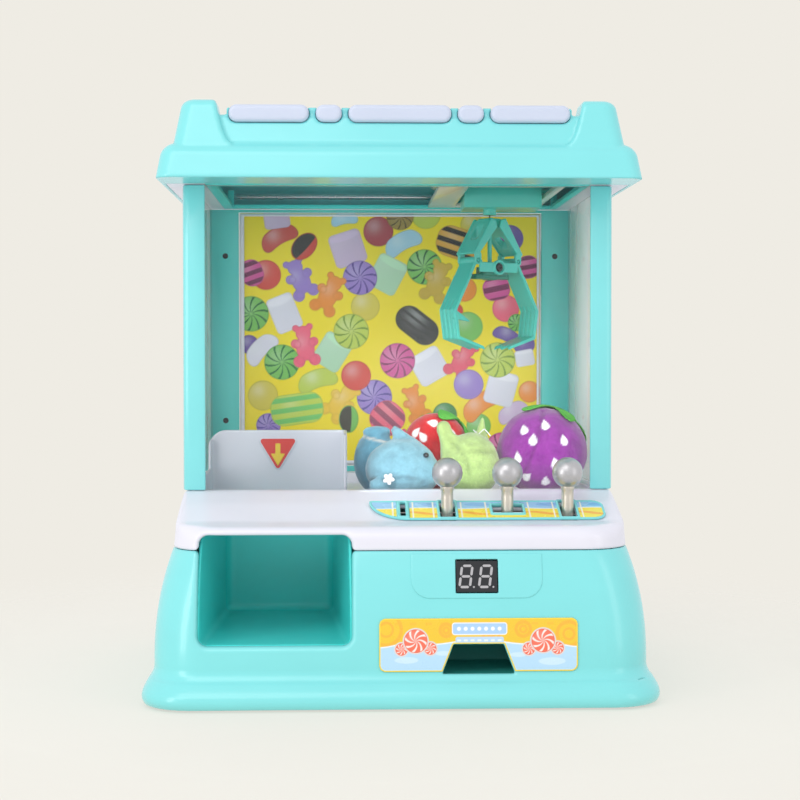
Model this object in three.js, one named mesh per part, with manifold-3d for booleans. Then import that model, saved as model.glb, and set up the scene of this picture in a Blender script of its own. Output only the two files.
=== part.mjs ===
// Table-top claw crane machine: a toy cabinet with a driven gantry, a hanging
// two-finger claw, three joysticks and a bin of stuffed prizes.
// Units are millimetres, +Z is up and the front faces -Y. The origin is on the
// ground, under the middle of the machine.
import * as THREE from "three";
import { mergeVertices } from "three/addons/utils/BufferGeometryUtils.js";
import Module from "manifold-3d";

const wasm = await Module();
wasm.setup();

// ---------------------------------------------------------------- driving dimensions
const WALL = 2.4; // moulded shell thickness
const GAP = 0.35; // air between neighbouring pieces
const ARC_STEPS = 5; // straight pieces in one rounded corner of a loft
const CURVE_STEPS = 2; // half the straight pieces in one arc of an outline

const FOOT_HEIGHT = 1.5;
const SHELL_BOTTOM = 1.2;
const BASE_TOP = 92.2;
const LEDGE = 123.2; // top of the deck, where posts and windows stand
const BIN_FLOOR = 115.5;
const CABINET_TOP = 315.8;
const ROOF_BOTTOM = 316.2;
const ROOF_SHOULDER = 338;
const ROOF_PANEL_TOP = 360.3;
const ROOF_TOP = 365.2;
const ROOF_CORNER = 10;

const BODY_X = 148.9; // half width of the base above the plinth
const BODY_FRONT = -128;
const BODY_REAR = 131.5;
const BODY_CORNER = 30;
const BODY_WAIST = 25; // height where the plinth flare ends and the taper starts
const TOP_INSET = 10.8; // how far the base leans in at its top
const PLINTH_FLARE = 6.6;
const PLINTH_WIDEST = 6;
const PLINTH_FRONT_FLARE = 9.5;
const PLINTH_REAR_FLARE = 6;

const POST_X = 136; // outer face of the corner posts
const POST_WIDTH = 14;
const POST_FRONT = -49.5;
const REAR_WALL = 126;
const WELL_X = 126; // half width of the hole in the deck that takes the bin
const WELL_FRONT = -43;
const WELL_REAR = 121;

const ROOF_X = 149;
const ROOF_FRONT = -91.5;
const ROOF_REAR = 136.5;

const OUTLET = { left: -121, right: -30, bottom: 37.2, top: 101.5, radius: 6 };
const CHUTE = { left: -125.2, right: -32.6, front: -42.2, rear: 20.6, top: 158.6, wall: 2 };
const DISPLAY = { x: 44, z: 77.5, width: 25, height: 19, depth: 7 };
const LABEL = { left: -14, right: 103.3, bottom: 22.2, top: 53.4, radius: 4 };
const COIN_RETURN = { bottom: 21, top: 37.6, x: 44.7, bottomHalf: 21, topHalf: 14.5 };

const CONSOLE = { left: -19, right: 126, rear: -69.5, rearZ: 116.8, front: -94.5, frontZ: 107.4 };
const COIN_SLOT_X = 1.5;
const STICKS = [
  { name: "left", x: 28.9, swing: "y" },
  { name: "middle", x: 66, swing: "x" },
  { name: "right", x: 103.2, swing: "y" },
];
const STICK_Y = -82;
const STICK_PIVOT = 90;
const STICK_RADIUS = 3.75;
const KNOB_RADIUS = 9.5;
const KNOB_Z = 136.2;

const CLAW = { x: 67, y: 56, turn: THREE.MathUtils.degToRad(35), top: 303.7, pivotZ: 274, pivotR: 18 };
const RAIL_RADIUS = 2;
const RAIL_Z = 325;
const RAIL_FRONT = -43.7;
const RAIL_REAR = 121.1;
const BRIDGE = { left: 27, right: 108, front: -37, rear: 116, bottom: 316.7, top: 319.5 };
const BRIDGE_OPENING = { left: 46, right: 103, front: -30, rear: 109 };
const CARRIAGE = { left: 48, right: 101, front: 36, rear: 76, bottom: 310, top: 330, wall: 1.8 };

const DOOR = { x: 111, bottom: 128, top: 313.4, inner: 126.4, outer: 129.6 };
const DOOR_HINGE = { x: 113.5, y: 134, radius: 3.2, bore: 1.8, pin: 1.5 };
const BATTERY = { left: 20, right: 110, bottom: 25, top: 75, front: 62 };
const SWITCH = { x: -63, z: 44 };

// ---------------------------------------------------------------- materials
function plastic(color, roughness, metalness = 0) {
  return new THREE.MeshStandardMaterial({ color, roughness, metalness });
}

function clearPlastic() {
  const material = plastic(0xe8f6f6, 0.08);
  material.transparent = true;
  material.opacity = 0.25;
  return material;
}

const AQUA = plastic(0x8ceee8, 0.3);
const TEAL = plastic(0x3fa9a0, 0.35);
const WHITE = plastic(0xf0eef6, 0.3);
const GREY_WHITE = plastic(0xd9dcdf, 0.4);
const CLEAR = clearPlastic();
const FROSTED = plastic(0xdedff0, 0.45);
const SILVER = plastic(0xc9cacc, 0.3, 0.8);
const BLACK = plastic(0x17181a, 0.4);
const RUBBER = plastic(0x2c2d30, 0.85);
const STEEL = plastic(0xb8bcc0, 0.3, 1);
const BOARD = plastic(0x1f6b3a, 0.6);
const YELLOW = plastic(0xf8dc3a, 0.5);
const RED = plastic(0xee4540, 0.45);
const CLAW_TEAL = plastic(0x62d6cb, 0.35);
const CLAW_DARK = plastic(0x1f8a79, 0.4);
const PURPLE_FABRIC = plastic(0xa044ae, 0.9);
const RED_FABRIC = plastic(0xd8262c, 0.9);
const GREEN_FABRIC = plastic(0xb3dd85, 0.9);
const BLUE_FABRIC = plastic(0x8fd0e2, 0.9);

// ---------------------------------------------------------------- solids
function toSolid(geometry) {
  geometry.deleteAttribute("normal");
  geometry.deleteAttribute("uv");
  const merged = mergeVertices(geometry, 1e-4);
  const vertProperties = new Float32Array(merged.attributes.position.array);
  const triVerts = new Uint32Array(merged.index.array);
  return new wasm.Manifold(new wasm.Mesh({ numProp: 3, vertProperties, triVerts }));
}

function toGeometry(solid) {
  const mesh = solid.getMesh();
  const geometry = new THREE.BufferGeometry();
  geometry.setAttribute("position", new THREE.BufferAttribute(mesh.vertProperties, 3));
  geometry.setIndex(new THREE.BufferAttribute(mesh.triVerts, 1));
  return geometry;
}

function box(x0, x1, y0, y1, z0, z1) {
  const geometry = new THREE.BoxGeometry(x1 - x0, y1 - y0, z1 - z0);
  geometry.translate((x0 + x1) / 2, (y0 + y1) / 2, (z0 + z1) / 2);
  return toSolid(geometry);
}

function rod(from, to, radius, sides = 16) {
  const start = new THREE.Vector3(...from);
  const span = new THREE.Vector3(...to).sub(start);
  const geometry = new THREE.CylinderGeometry(radius, radius, span.length(), sides);
  const upright = new THREE.Vector3(0, 1, 0);
  const direction = span.clone().normalize();
  geometry.applyQuaternion(new THREE.Quaternion().setFromUnitVectors(upright, direction));
  geometry.translate(...start.addScaledVector(span, 0.5).toArray());
  return toSolid(geometry);
}

function ellipsoid(x, y, z, rx, ry, rz) {
  const geometry = new THREE.SphereGeometry(1, 16, 10);
  geometry.rotateX(Math.PI / 2);
  geometry.scale(rx, ry, rz);
  geometry.translate(x, y, z);
  return toSolid(geometry);
}

// A flat outline in X and Y, raised from z0 to z1.
function prismZ(shape, z0, z1, curveSegments = CURVE_STEPS) {
  const geometry = new THREE.ExtrudeGeometry(shape, { depth: z1 - z0, bevelEnabled: false, curveSegments });
  geometry.translate(0, 0, z0);
  return toSolid(geometry);
}

// An outline in Y and Z, swept along X.
function prismX(shape, x0, x1, curveSegments = CURVE_STEPS) {
  const geometry = new THREE.ExtrudeGeometry(shape, { depth: x1 - x0, bevelEnabled: false, curveSegments });
  const axes = new THREE.Matrix4().makeBasis(
    new THREE.Vector3(0, 1, 0),
    new THREE.Vector3(0, 0, 1),
    new THREE.Vector3(1, 0, 0),
  );
  geometry.applyMatrix4(axes);
  geometry.translate(x0, 0, 0);
  return toSolid(geometry);
}

// An outline in X and Z, swept along Y.
function prismY(shape, y0, y1, curveSegments = CURVE_STEPS) {
  const geometry = new THREE.ExtrudeGeometry(shape, { depth: y1 - y0, bevelEnabled: false, curveSegments });
  const axes = new THREE.Matrix4().makeBasis(
    new THREE.Vector3(1, 0, 0),
    new THREE.Vector3(0, 0, 1),
    new THREE.Vector3(0, -1, 0),
  );
  geometry.applyMatrix4(axes);
  geometry.translate(0, y1, 0);
  return toSolid(geometry);
}

function polygon(points) {
  return new THREE.Shape(points.map(([a, b]) => new THREE.Vector2(a, b)));
}

function roundedRectangle(a0, a1, b0, b1, radius) {
  const shape = new THREE.Shape();
  shape.absarc(a0 + radius, b0 + radius, radius, Math.PI, 1.5 * Math.PI);
  shape.absarc(a1 - radius, b0 + radius, radius, 1.5 * Math.PI, 2 * Math.PI);
  shape.absarc(a1 - radius, b1 - radius, radius, 0, 0.5 * Math.PI);
  shape.absarc(a0 + radius, b1 - radius, radius, 0.5 * Math.PI, Math.PI);
  return shape;
}

// One level of a lofted body: a rounded rectangle at height z.
function level(z, x0, x1, y0, y1, radius) {
  const centres = [
    [x0 + radius, y0 + radius],
    [x1 - radius, y0 + radius],
    [x1 - radius, y1 - radius],
    [x0 + radius, y1 - radius],
  ];
  const points = [];
  centres.forEach(([cx, cy], corner) => {
    for (let step = 0; step <= ARC_STEPS; step += 1) {
      const angle = Math.PI + (corner + step / ARC_STEPS) * (Math.PI / 2);
      points.push([cx + radius * Math.cos(angle), cy + radius * Math.sin(angle), z]);
    }
  });
  return points;
}

// A closed body through levels that are listed from the lowest to the highest.
function loft(levels) {
  const count = levels[0].length;
  const index = [];
  for (let i = 1; i < count - 1; i += 1) {
    index.push(0, i + 1, i);
  }
  for (let row = 0; row < levels.length - 1; row += 1) {
    for (let i = 0; i < count; i += 1) {
      const a = row * count + i;
      const b = row * count + ((i + 1) % count);
      index.push(a, b, b + count, a, b + count, a + count);
    }
  }
  const top = (levels.length - 1) * count;
  for (let i = 1; i < count - 1; i += 1) {
    index.push(top, top + i, top + i + 1);
  }
  const geometry = new THREE.BufferGeometry();
  geometry.setAttribute("position", new THREE.Float32BufferAttribute(levels.flat(2), 3));
  geometry.setIndex(index);
  return toSolid(geometry);
}

function union(...solids) {
  return solids.reduce((whole, next) => whole.add(next));
}

// ---------------------------------------------------------------- base
function taperInset(z) {
  return z > BODY_WAIST ? TOP_INSET * ((z - BODY_WAIST) / (BASE_TOP - BODY_WAIST)) ** 2.2 : 0;
}

// Share of the full plinth flare at height z: round at the foot, then a soft cove.
function flareShare(z) {
  if (z < PLINTH_WIDEST) {
    return 1 - 0.24 * ((PLINTH_WIDEST - z) / (PLINTH_WIDEST - SHELL_BOTTOM)) ** 2;
  }
  const rise = Math.min(1, (z - PLINTH_WIDEST) / (BODY_WAIST - 1 - PLINTH_WIDEST));
  return 0.5 * (1 + Math.cos(Math.PI * rise));
}

function baseLevel(z, outset) {
  const share = flareShare(z);
  const inset = taperInset(z);
  const halfWidth = BODY_X + PLINTH_FLARE * share - inset + outset;
  const front = BODY_FRONT - PLINTH_FRONT_FLARE * share + inset - outset;
  const rear = BODY_REAR + PLINTH_REAR_FLARE * share + outset;
  return level(z, -halfWidth, halfWidth, front, rear, BODY_CORNER + outset);
}

const BASE_HEIGHTS = [
  ...[SHELL_BOTTOM, 3.2, PLINTH_WIDEST, 9, 12, 15, 18, 21],
  ...[BODY_WAIST, 45, 60, 72, 82, BASE_TOP],
];

function baseBody(outset, heights = BASE_HEIGHTS) {
  return loft(heights.map((z) => baseLevel(z, outset)));
}

function baseInside(outset) {
  const heights = [0, PLINTH_WIDEST, 15, BODY_WAIST, 60, 78, BASE_TOP + 1];
  const levelAt = (z) => baseLevel(Math.max(z, SHELL_BOTTOM), outset).map(([x, y]) => [x, y, z]);
  return loft(heights.map(levelAt));
}

// A cutter that goes through the front face of the base.
function throughFront(shape) {
  return prismY(shape, BODY_FRONT - 17, BODY_FRONT + 28);
}

function outletHole() {
  const { left, right, bottom, top, radius } = OUTLET;
  return throughFront(roundedRectangle(left, right, bottom, top, radius));
}

function coinReturnShape(margin) {
  const low = COIN_RETURN.bottomHalf + margin;
  const high = COIN_RETURN.topHalf + margin;
  return polygon([
    [COIN_RETURN.x - low, COIN_RETURN.bottom - margin],
    [COIN_RETURN.x + low, COIN_RETURN.bottom - margin],
    [COIN_RETURN.x + high, COIN_RETURN.top + margin],
    [COIN_RETURN.x - high, COIN_RETURN.top + margin],
  ]);
}

// The display sits flush in the leaning front face, so it leans with it.
function displaySurface() {
  const step = 1;
  const lean = Math.atan((taperInset(DISPLAY.z + step) - taperInset(DISPLAY.z - step)) / (2 * step));
  return { y: BODY_FRONT + taperInset(DISPLAY.z), lean };
}

function displayBlock(margin, proud, depth) {
  const { y, lean } = displaySurface();
  const width = DISPLAY.width + 2 * margin;
  const height = DISPLAY.height + 2 * margin;
  const geometry = new THREE.BoxGeometry(width, depth, height);
  geometry.translate(0, depth / 2 - proud, 0);
  geometry.rotateX(-lean);
  geometry.translate(DISPLAY.x, y, DISPLAY.z);
  return toSolid(geometry);
}

function baseShell() {
  const inner = BODY_REAR - 6;
  const outer = BODY_REAR + 6;
  const rearHole = box(BATTERY.left, BATTERY.right, inner, outer, BATTERY.bottom, BATTERY.top);
  const switchSlot = box(SWITCH.x - 7, SWITCH.x + 12, inner, outer, SWITCH.z - 2.5, SWITCH.z + 2.5);
  return baseBody(0)
    .subtract(baseInside(-WALL))
    .subtract(outletHole())
    .subtract(throughFront(coinReturnShape(0)))
    .subtract(displayBlock(GAP, 5, 15))
    .subtract(rearHole)
    .subtract(switchSlot);
}

// Bottom plate with the battery bay moulded on; the bay opens to the rear.
function basePlate() {
  const bottom = FOOT_HEIGHT + 0.3;
  const plateTop = bottom + 2.5;
  const plate = loft([bottom, plateTop].map((z) => baseLevel(z, -WALL - 0.8)));
  const rear = BODY_REAR - WALL - 0.8;
  const bay = box(
    BATTERY.left - 4,
    BATTERY.right + 4,
    BATTERY.front,
    rear,
    plateTop - 0.5,
    BATTERY.top + 4,
  );
  const hollow = box(
    BATTERY.left - 1.6,
    BATTERY.right + 1.6,
    BATTERY.front + 2,
    rear + 1,
    BATTERY.bottom - 1.6,
    BATTERY.top + 1.6,
  );
  return plate.add(bay).subtract(hollow);
}

function batteryDoor() {
  return box(
    BATTERY.left + GAP,
    BATTERY.right - GAP,
    BODY_REAR - WALL,
    BODY_REAR,
    BATTERY.bottom + GAP,
    BATTERY.top - GAP,
  ).add(box(58, 72, BODY_REAR - 0.5, BODY_REAR + 1.4, BATTERY.top - 6, BATTERY.top - 3));
}

// Slide switch: a ribbed cap outside, and a stem through the slot.
function powerSwitch() {
  const { x, z } = SWITCH;
  const cap = box(x - 5, x + 5, BODY_REAR + GAP, BODY_REAR + 2.8, z - 4, z + 4);
  const stem = box(x - 4, x + 4, BODY_REAR - 5, BODY_REAR + 1, z - 1.8, z + 1.8);
  return cap.add(stem);
}

function foot(x, y) {
  return rod([x, y, 0], [x, y, FOOT_HEIGHT], 9, 20);
}

// Catch tray under the chute: side walls draw in towards the back wall.
function outletTray() {
  const backLeft = -113.5;
  const backRight = -42;
  const back = 18.5;
  const mouth = BODY_FRONT - 4;
  const inner = [
    [OUTLET.left, mouth],
    [OUTLET.right, mouth],
    [backRight, back],
    [backLeft, back],
  ];
  const outer = [
    [OUTLET.left - 2, mouth],
    [OUTLET.right + 2, mouth],
    [backRight + 2, back + 2],
    [backLeft - 2, back + 2],
  ];
  const top = 100;
  const walls = prismZ(polygon(outer), OUTLET.bottom - 2, top).subtract(
    prismZ(polygon(inner), OUTLET.bottom, top + 1),
  );
  const joint = BASE_TOP + 0.3;
  const underDeck = loft([joint, top].map((z) => deckLevel(z, -WALL - 0.5)));
  const aboveBase = box(-200, 200, -200, 200, joint, 200);
  return walls.intersect(baseInside(-WALL - 0.5).subtract(aboveBase).add(underDeck));
}

function coinCup() {
  const left = 20;
  const right = 70;
  const rear = -68;
  const top = 40;
  const cup = box(left, right, -140, rear, 17, top);
  const hollow = box(left + 1.6, right - 1.6, -141, rear - 1.6, 18.6, top + 1);
  return cup.subtract(hollow).intersect(baseInside(-WALL - 0.5));
}

// Flat chute that lets a coin fall from the slot to the cup.
function coinChannel() {
  const outer = polygon([
    [-2.4, 80],
    [31, 42.4],
    [38, 42.4],
    [38, 50],
    [5.4, 86.5],
    [5.4, 105],
    [-2.4, 105],
  ]);
  const inner = polygon([
    [-0.7, 80.7],
    [33, 42.8],
    [33, 40],
    [36.3, 40],
    [36.3, 49.4],
    [3.7, 85.9],
    [3.7, 107],
    [-0.7, 107],
  ]);
  return prismY(outer, -93.5, -70.5).subtract(prismY(inner, -91.8, -72.2));
}

// Printed sticker that follows the front face.
function frontLabel() {
  const skin = baseBody(0.9).subtract(baseBody(0.3));
  const outline = roundedRectangle(LABEL.left, LABEL.right, LABEL.bottom, LABEL.top, LABEL.radius);
  return skin.intersect(throughFront(outline)).subtract(throughFront(coinReturnShape(0.6)));
}

function mainBoard() {
  const board = box(-15, 12, -60, 40, 14, 15.6);
  const chip = box(-8, 4, -30, -18, 15.2, 18);
  const socketRow = box(-10, 6, 10, 16, 15.2, 21);
  return union(board, chip, socketRow);
}

// ---------------------------------------------------------------- deck and console
function deckLevel(z, outset) {
  const rise = (z - BASE_TOP) / (LEDGE - BASE_TOP);
  const halfWidth = BODY_X - TOP_INSET - 2.3 * Math.max(0, rise) ** 0.7 + outset;
  const front = BODY_FRONT + TOP_INSET - outset;
  return level(z, -halfWidth, halfWidth, front, BODY_REAR + outset, BODY_CORNER + outset);
}

function deckBody(outset, bottom, top) {
  const heights = [bottom, 100, 110, top];
  return loft(heights.map((z) => deckLevel(z, outset)));
}

// Side outline of the deck: skirt, rounded lip, sloping console, flat ledge.
function deckProfile(drop) {
  const lipFront = BODY_FRONT + TOP_INSET - 1;
  const shape = new THREE.Shape();
  shape.moveTo(lipFront, 80);
  shape.lineTo(BODY_REAR + 5, 80);
  shape.lineTo(BODY_REAR + 5, LEDGE - drop);
  shape.lineTo(POST_FRONT, LEDGE - drop);
  shape.lineTo(CONSOLE.rear, CONSOLE.rearZ - drop);
  shape.lineTo(CONSOLE.front, CONSOLE.frontZ - drop);
  shape.lineTo(lipFront + 9, 106.4 - drop);
  shape.quadraticCurveTo(lipFront + 1, 106 - drop, lipFront + 0.6, 98.5 - drop);
  return shape;
}

// Places a shape on the sloping console: its own X stays X, its Y runs up the slope.
function onConsole(solidGeometry) {
  const slope = Math.atan2(CONSOLE.rearZ - CONSOLE.frontZ, CONSOLE.rear - CONSOLE.front);
  solidGeometry.rotateX(slope);
  solidGeometry.translate(0, (CONSOLE.rear + CONSOLE.front) / 2, (CONSOLE.rearZ + CONSOLE.frontZ) / 2);
  return toSolid(solidGeometry);
}

function consoleBlock(x, halfX, halfY, z0, z1) {
  const geometry = new THREE.BoxGeometry(2 * halfX, 2 * halfY, z1 - z0);
  geometry.translate(x, 0, (z0 + z1) / 2);
  return onConsole(geometry);
}

function gateHalf(stick) {
  return stick.swing === "y" ? [4.5, 11.3] : [9, 5.6];
}

function consoleHoles(margin, z0, z1) {
  const slots = STICKS.map((stick) => {
    const [halfX, halfY] = gateHalf(stick);
    return consoleBlock(stick.x, halfX + margin, halfY + margin, z0, z1);
  });
  return union(consoleBlock(COIN_SLOT_X, 1.6 + margin, 9.8 + margin, z0, z1), ...slots);
}

function deck() {
  const skin = deckBody(0, BASE_TOP + 0.3, LEDGE).intersect(prismX(deckProfile(0), -170, 170));
  const hollow = deckBody(-WALL, 88, LEDGE).intersect(prismX(deckProfile(WALL), -170, 170));
  const well = box(-WELL_X, WELL_X, WELL_FRONT, WELL_REAR, 100, LEDGE + 5);
  return skin.subtract(hollow).subtract(well).subtract(outletHole()).subtract(consoleHoles(0.5, -12, 6));
}

// Printed inlay with raised gates round the joysticks and the coin slot.
function consolePanel() {
  const halfLength = 12.6;
  const outline = new THREE.Shape();
  outline.moveTo(CONSOLE.left, halfLength);
  outline.lineTo(CONSOLE.left, -halfLength + 14);
  outline.quadraticCurveTo(CONSOLE.left + 3, -halfLength, CONSOLE.left + 20, -halfLength);
  outline.lineTo(CONSOLE.right - 9, -halfLength);
  outline.quadraticCurveTo(CONSOLE.right, -halfLength, CONSOLE.right, -halfLength + 8);
  outline.quadraticCurveTo(CONSOLE.right, halfLength, CONSOLE.right - 9, halfLength);
  const options = { depth: 1.2, bevelEnabled: false, curveSegments: CURVE_STEPS };
  const plate = new THREE.ExtrudeGeometry(outline, options);
  plate.translate(0, 0, 0.3);
  const gates = STICKS.map((stick) => {
    const [halfX, halfY] = gateHalf(stick);
    return consoleBlock(stick.x, halfX + 1.8, Math.min(halfY + 1.8, halfLength - 0.1), 0.5, 2.3);
  });
  const bezel = consoleBlock(COIN_SLOT_X, 3.8, 11.8, 0.5, 2.3);
  return union(onConsole(plate), bezel, ...gates).subtract(consoleHoles(0, -3, 6));
}

function binFloor() {
  const left = -WELL_X + GAP;
  const right = WELL_X - GAP;
  const front = WELL_FRONT + GAP;
  const rear = WELL_REAR - GAP;
  const tray = box(left, right, front, rear, BIN_FLOOR - 2.4, LEDGE - 0.2);
  const hollow = box(left + 1.8, right - 1.8, front + 1.8, rear - 1.8, BIN_FLOOR, LEDGE + 1);
  const chuteRight = CHUTE.right + 0.4;
  const chuteRear = CHUTE.rear + 0.4;
  const chuteHole = box(-WELL_X - 1, chuteRight, WELL_FRONT - 1, chuteRear, 100, LEDGE + 2);
  return tray.subtract(hollow).subtract(chuteHole);
}

// White prize chute: high rear and right walls, low left and front walls.
function chuteDuct() {
  const { left, right, front, rear, top, wall } = CHUTE;
  const bottom = 101.5;
  const duct = box(left, right, front, rear, bottom, top).subtract(
    box(left + wall, right - wall, front + wall, rear - wall, bottom - 1, top + 1),
  );
  const innerRight = right - wall;
  const frontCut = box(left - 1, innerRight - 0.01, front - 1, front + wall + 0.5, LEDGE - 1, top + 1);
  const frontEnd = box(innerRight - 1, right + 1, front - 1, front + 0.5, LEDGE + 1, top + 1);
  const leftCut = box(left - 1, left + wall + 0.01, front - 1, rear - wall - 6, 133, top + 1);
  const rounded = prismY(roundedRectangle(left, right + 20, bottom - 20, top, 12), front - 1, rear + 1);
  return duct.subtract(frontCut).subtract(frontEnd).subtract(leftCut).intersect(rounded);
}

// Red arrow-head plate on the rear wall of the chute.
function chuteSign() {
  const outline = polygon([
    [-91.3, 153.6],
    [-91.3, 149.6],
    [-80.6, 130.6],
    [-77.2, 130.6],
    [-66.5, 149.6],
    [-66.5, 153.6],
  ]);
  const face = CHUTE.rear - CHUTE.wall;
  return prismY(outline, face - 1.1, face - 0.3);
}

// ---------------------------------------------------------------- joysticks
// A rod across the stick at its pivot, square to the way the stick swings.
function pivotRod(stick, reach, radius) {
  const [dx, dy] = stick.swing === "y" ? [reach, 0] : [0, reach];
  return rod(
    [stick.x - dx, STICK_Y - dy, STICK_PIVOT],
    [stick.x + dx, STICK_Y + dy, STICK_PIVOT],
    radius,
    12,
  );
}

function uprightRod(stick, bottom, top, radius) {
  return rod([stick.x, STICK_Y, bottom], [stick.x, STICK_Y, top], radius, 20);
}

function stickShaft(stick) {
  const shaft = uprightRod(stick, STICK_PIVOT - 9, KNOB_Z - 5, STICK_RADIUS);
  return shaft.add(pivotRod(stick, 9.4, 1.9));
}

function stickKnob(stick) {
  const ball = ellipsoid(stick.x, STICK_Y, KNOB_Z, KNOB_RADIUS, KNOB_RADIUS, KNOB_RADIUS);
  return ball.subtract(uprightRod(stick, KNOB_Z - 20, KNOB_Z - 4.6, STICK_RADIUS + 0.3));
}

// One beam under the console that carries the pivots of all three joysticks.
function stickBracket() {
  const beam = box(19.5, 113, STICK_Y - 13, STICK_Y + 13, STICK_PIVOT - 5, STICK_PIVOT + 5);
  const half = 6.8;
  const pockets = STICKS.map((stick) =>
    box(
      stick.x - half,
      stick.x + half,
      STICK_Y - half,
      STICK_Y + half,
      STICK_PIVOT - 7,
      STICK_PIVOT + 7,
    ),
  );
  const bores = STICKS.map((stick) => pivotRod(stick, 9.8, 2.3));
  return beam.subtract(union(...pockets, ...bores));
}

// ---------------------------------------------------------------- cabinet
// Corner post: an L section that covers the edge where two windows meet.
function frontPost(side) {
  const outer = POST_X;
  const inner = POST_X - POST_WIDTH;
  const rear = POST_FRONT + POST_WIDTH;
  const radius = 4;
  const section = new THREE.Shape();
  section.moveTo(side * inner, POST_FRONT);
  section.lineTo(side * (outer - radius), POST_FRONT);
  section.quadraticCurveTo(side * outer, POST_FRONT, side * outer, POST_FRONT + radius);
  section.lineTo(side * outer, rear);
  section.lineTo(side * (outer - 3), rear);
  section.lineTo(side * (outer - 3), POST_FRONT + 2.6);
  section.lineTo(side * inner, POST_FRONT + 2.6);
  return prismZ(section, LEDGE + 0.3, CABINET_TOP);
}

function frontWindow() {
  const y = POST_FRONT + 3;
  return box(-129.8, 129.8, y, y + 1.5, LEDGE + 0.4, CABINET_TOP);
}

function sideWindow(side) {
  const near = Math.min(side * 130.8, side * 132.3);
  return box(near, near + 1.5, POST_FRONT + 3, REAR_WALL - 1.5, LEDGE + 0.4, CABINET_TOP);
}

function hingeRod(z0, z1, radius, sides) {
  const { x, y } = DOOR_HINGE;
  return rod([x, y, z0], [x, y, z1], radius, sides);
}

// Knuckles on the hinge line of the rear door, with a web back to the panel.
function hingeKnuckles(ranges, webFrom, webTo, faceY) {
  return ranges.map(([z0, z1]) => {
    const barrel = hingeRod(z0, z1, DOOR_HINGE.radius, 16);
    const arm = box(Math.min(webFrom, DOOR_HINGE.x), webTo, REAR_WALL + 4.7, DOOR_HINGE.y, z0, z1);
    const root = box(webFrom, webFrom + 2.8, faceY - 0.5, DOOR_HINGE.y, z0, z1);
    return union(barrel, arm, root);
  });
}

function hingeBore() {
  return hingeRod(100, 320, DOOR_HINGE.bore, 16);
}

function rearFrame() {
  const panel = box(-POST_X, POST_X, REAR_WALL, REAR_WALL + 4, LEDGE + 0.3, CABINET_TOP);
  const opening = box(-DOOR.x - 0.5, DOOR.x + 0.5, 100, 150, DOOR.bottom - 0.5, DOOR.top + 0.5);
  const flanges = [-1, 1].map((side) => {
    const near = Math.min(side * (POST_X - 3), side * POST_X);
    return box(near, near + 3, REAR_WALL - 8, REAR_WALL + 1, LEDGE + 0.3, CABINET_TOP);
  });
  const ranges = [
    [170.6, 186],
    [254, 269.4],
  ];
  const knuckles = hingeKnuckles(ranges, DOOR_HINGE.x, DOOR_HINGE.x + 3.2, REAR_WALL + 4);
  return union(panel.subtract(opening), ...flanges, ...knuckles).subtract(hingeBore());
}

function rearDoor() {
  const panel = box(-DOOR.x, DOOR.x, DOOR.inner, DOOR.outer, DOOR.bottom, DOOR.top);
  const ranges = [
    [154, 170],
    [270, 286],
  ];
  const knuckles = hingeKnuckles(ranges, 108, DOOR_HINGE.x, DOOR.outer);
  const grip = box(-104, -96, DOOR.outer - 0.5, DOOR.outer + 5, 205, 235);
  return union(panel, grip, ...knuckles).subtract(hingeBore());
}

function doorHingePin() {
  return hingeRod(152, 288, DOOR_HINGE.pin, 12);
}

function backdropCard() {
  return box(-110, 110, DOOR.inner - 1.2, DOOR.inner - 0.3, DOOR.bottom + 1, DOOR.top - 0.4);
}

// ---------------------------------------------------------------- roof
function roofLevel(z, inset) {
  return level(
    z,
    -ROOF_X + inset,
    ROOF_X - inset,
    ROOF_FRONT + inset,
    ROOF_REAR - inset,
    Math.max(6, ROOF_CORNER - inset / 2),
  );
}

// Lower roof: a slightly drafted band with a rounded shoulder.
function roofBand(thickness, bottom) {
  const draft = 0.18;
  const roundStart = ROOF_SHOULDER - 6.5;
  const levels = [roofLevel(bottom, thickness)];
  for (let step = 0; step <= 4; step += 1) {
    const angle = (step / 4) * (Math.PI / 2);
    const inset = draft * (roundStart - ROOF_BOTTOM) + 8.5 * (1 - Math.cos(angle));
    levels.push(roofLevel(roundStart + 6.5 * Math.sin(angle) - thickness, inset + thickness));
  }
  return loft(levels);
}

const CROWN = { x: 138.2, front: -82.5, rear: 128.5, corner: 20, draft: 0.19 };

function crownLevel(z, inset) {
  const lean = CROWN.draft * (z - ROOF_SHOULDER) + inset;
  return level(
    z,
    -CROWN.x + lean,
    CROWN.x - lean,
    CROWN.front + lean,
    CROWN.rear - lean,
    CROWN.corner - inset,
  );
}

// Corner turret: it leans in on every side and has a softly rounded top.
function turret(side, front) {
  const nearX = (z) => 102.4 + 9 * Math.sqrt(Math.max(0, z - ROOF_SHOULDER) / 21);
  const farX = (z) => CROWN.x + 0.3 - CROWN.draft * (z - ROOF_SHOULDER);
  const depth = 34;
  const heights = [ROOF_SHOULDER - 2, 341, 345, 352, 360.6, 363.8, ROOF_TOP];
  const rounding = [0, 0, 0, 0, 0.2, 1.8, 5];
  return loft(
    heights.map((z, i) => {
      const x0 = nearX(z) + rounding[i];
      const x1 = farX(z) - rounding[i];
      const lean = CROWN.draft * (z - ROOF_SHOULDER) + rounding[i];
      const y0 = front ? CROWN.front - 3 + lean : CROWN.rear + 3 - depth + lean;
      const y1 = y0 + depth - 2 * lean;
      const left = side > 0 ? x0 : -x1;
      const right = side > 0 ? x1 : -x0;
      return level(z, left, right, y0, y1, 7);
    }),
  );
}

const LIGHTS = [
  [-104.7, -55.7],
  [-51.5, -35.6],
  [-31.5, 31.5],
  [35.6, 51.5],
  [55.7, 104.7],
];
const LIGHT_BOTTOM = 351.1;
const LIGHT_TOP = 361.7;
const LIGHT_RADIUS = 5;

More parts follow.
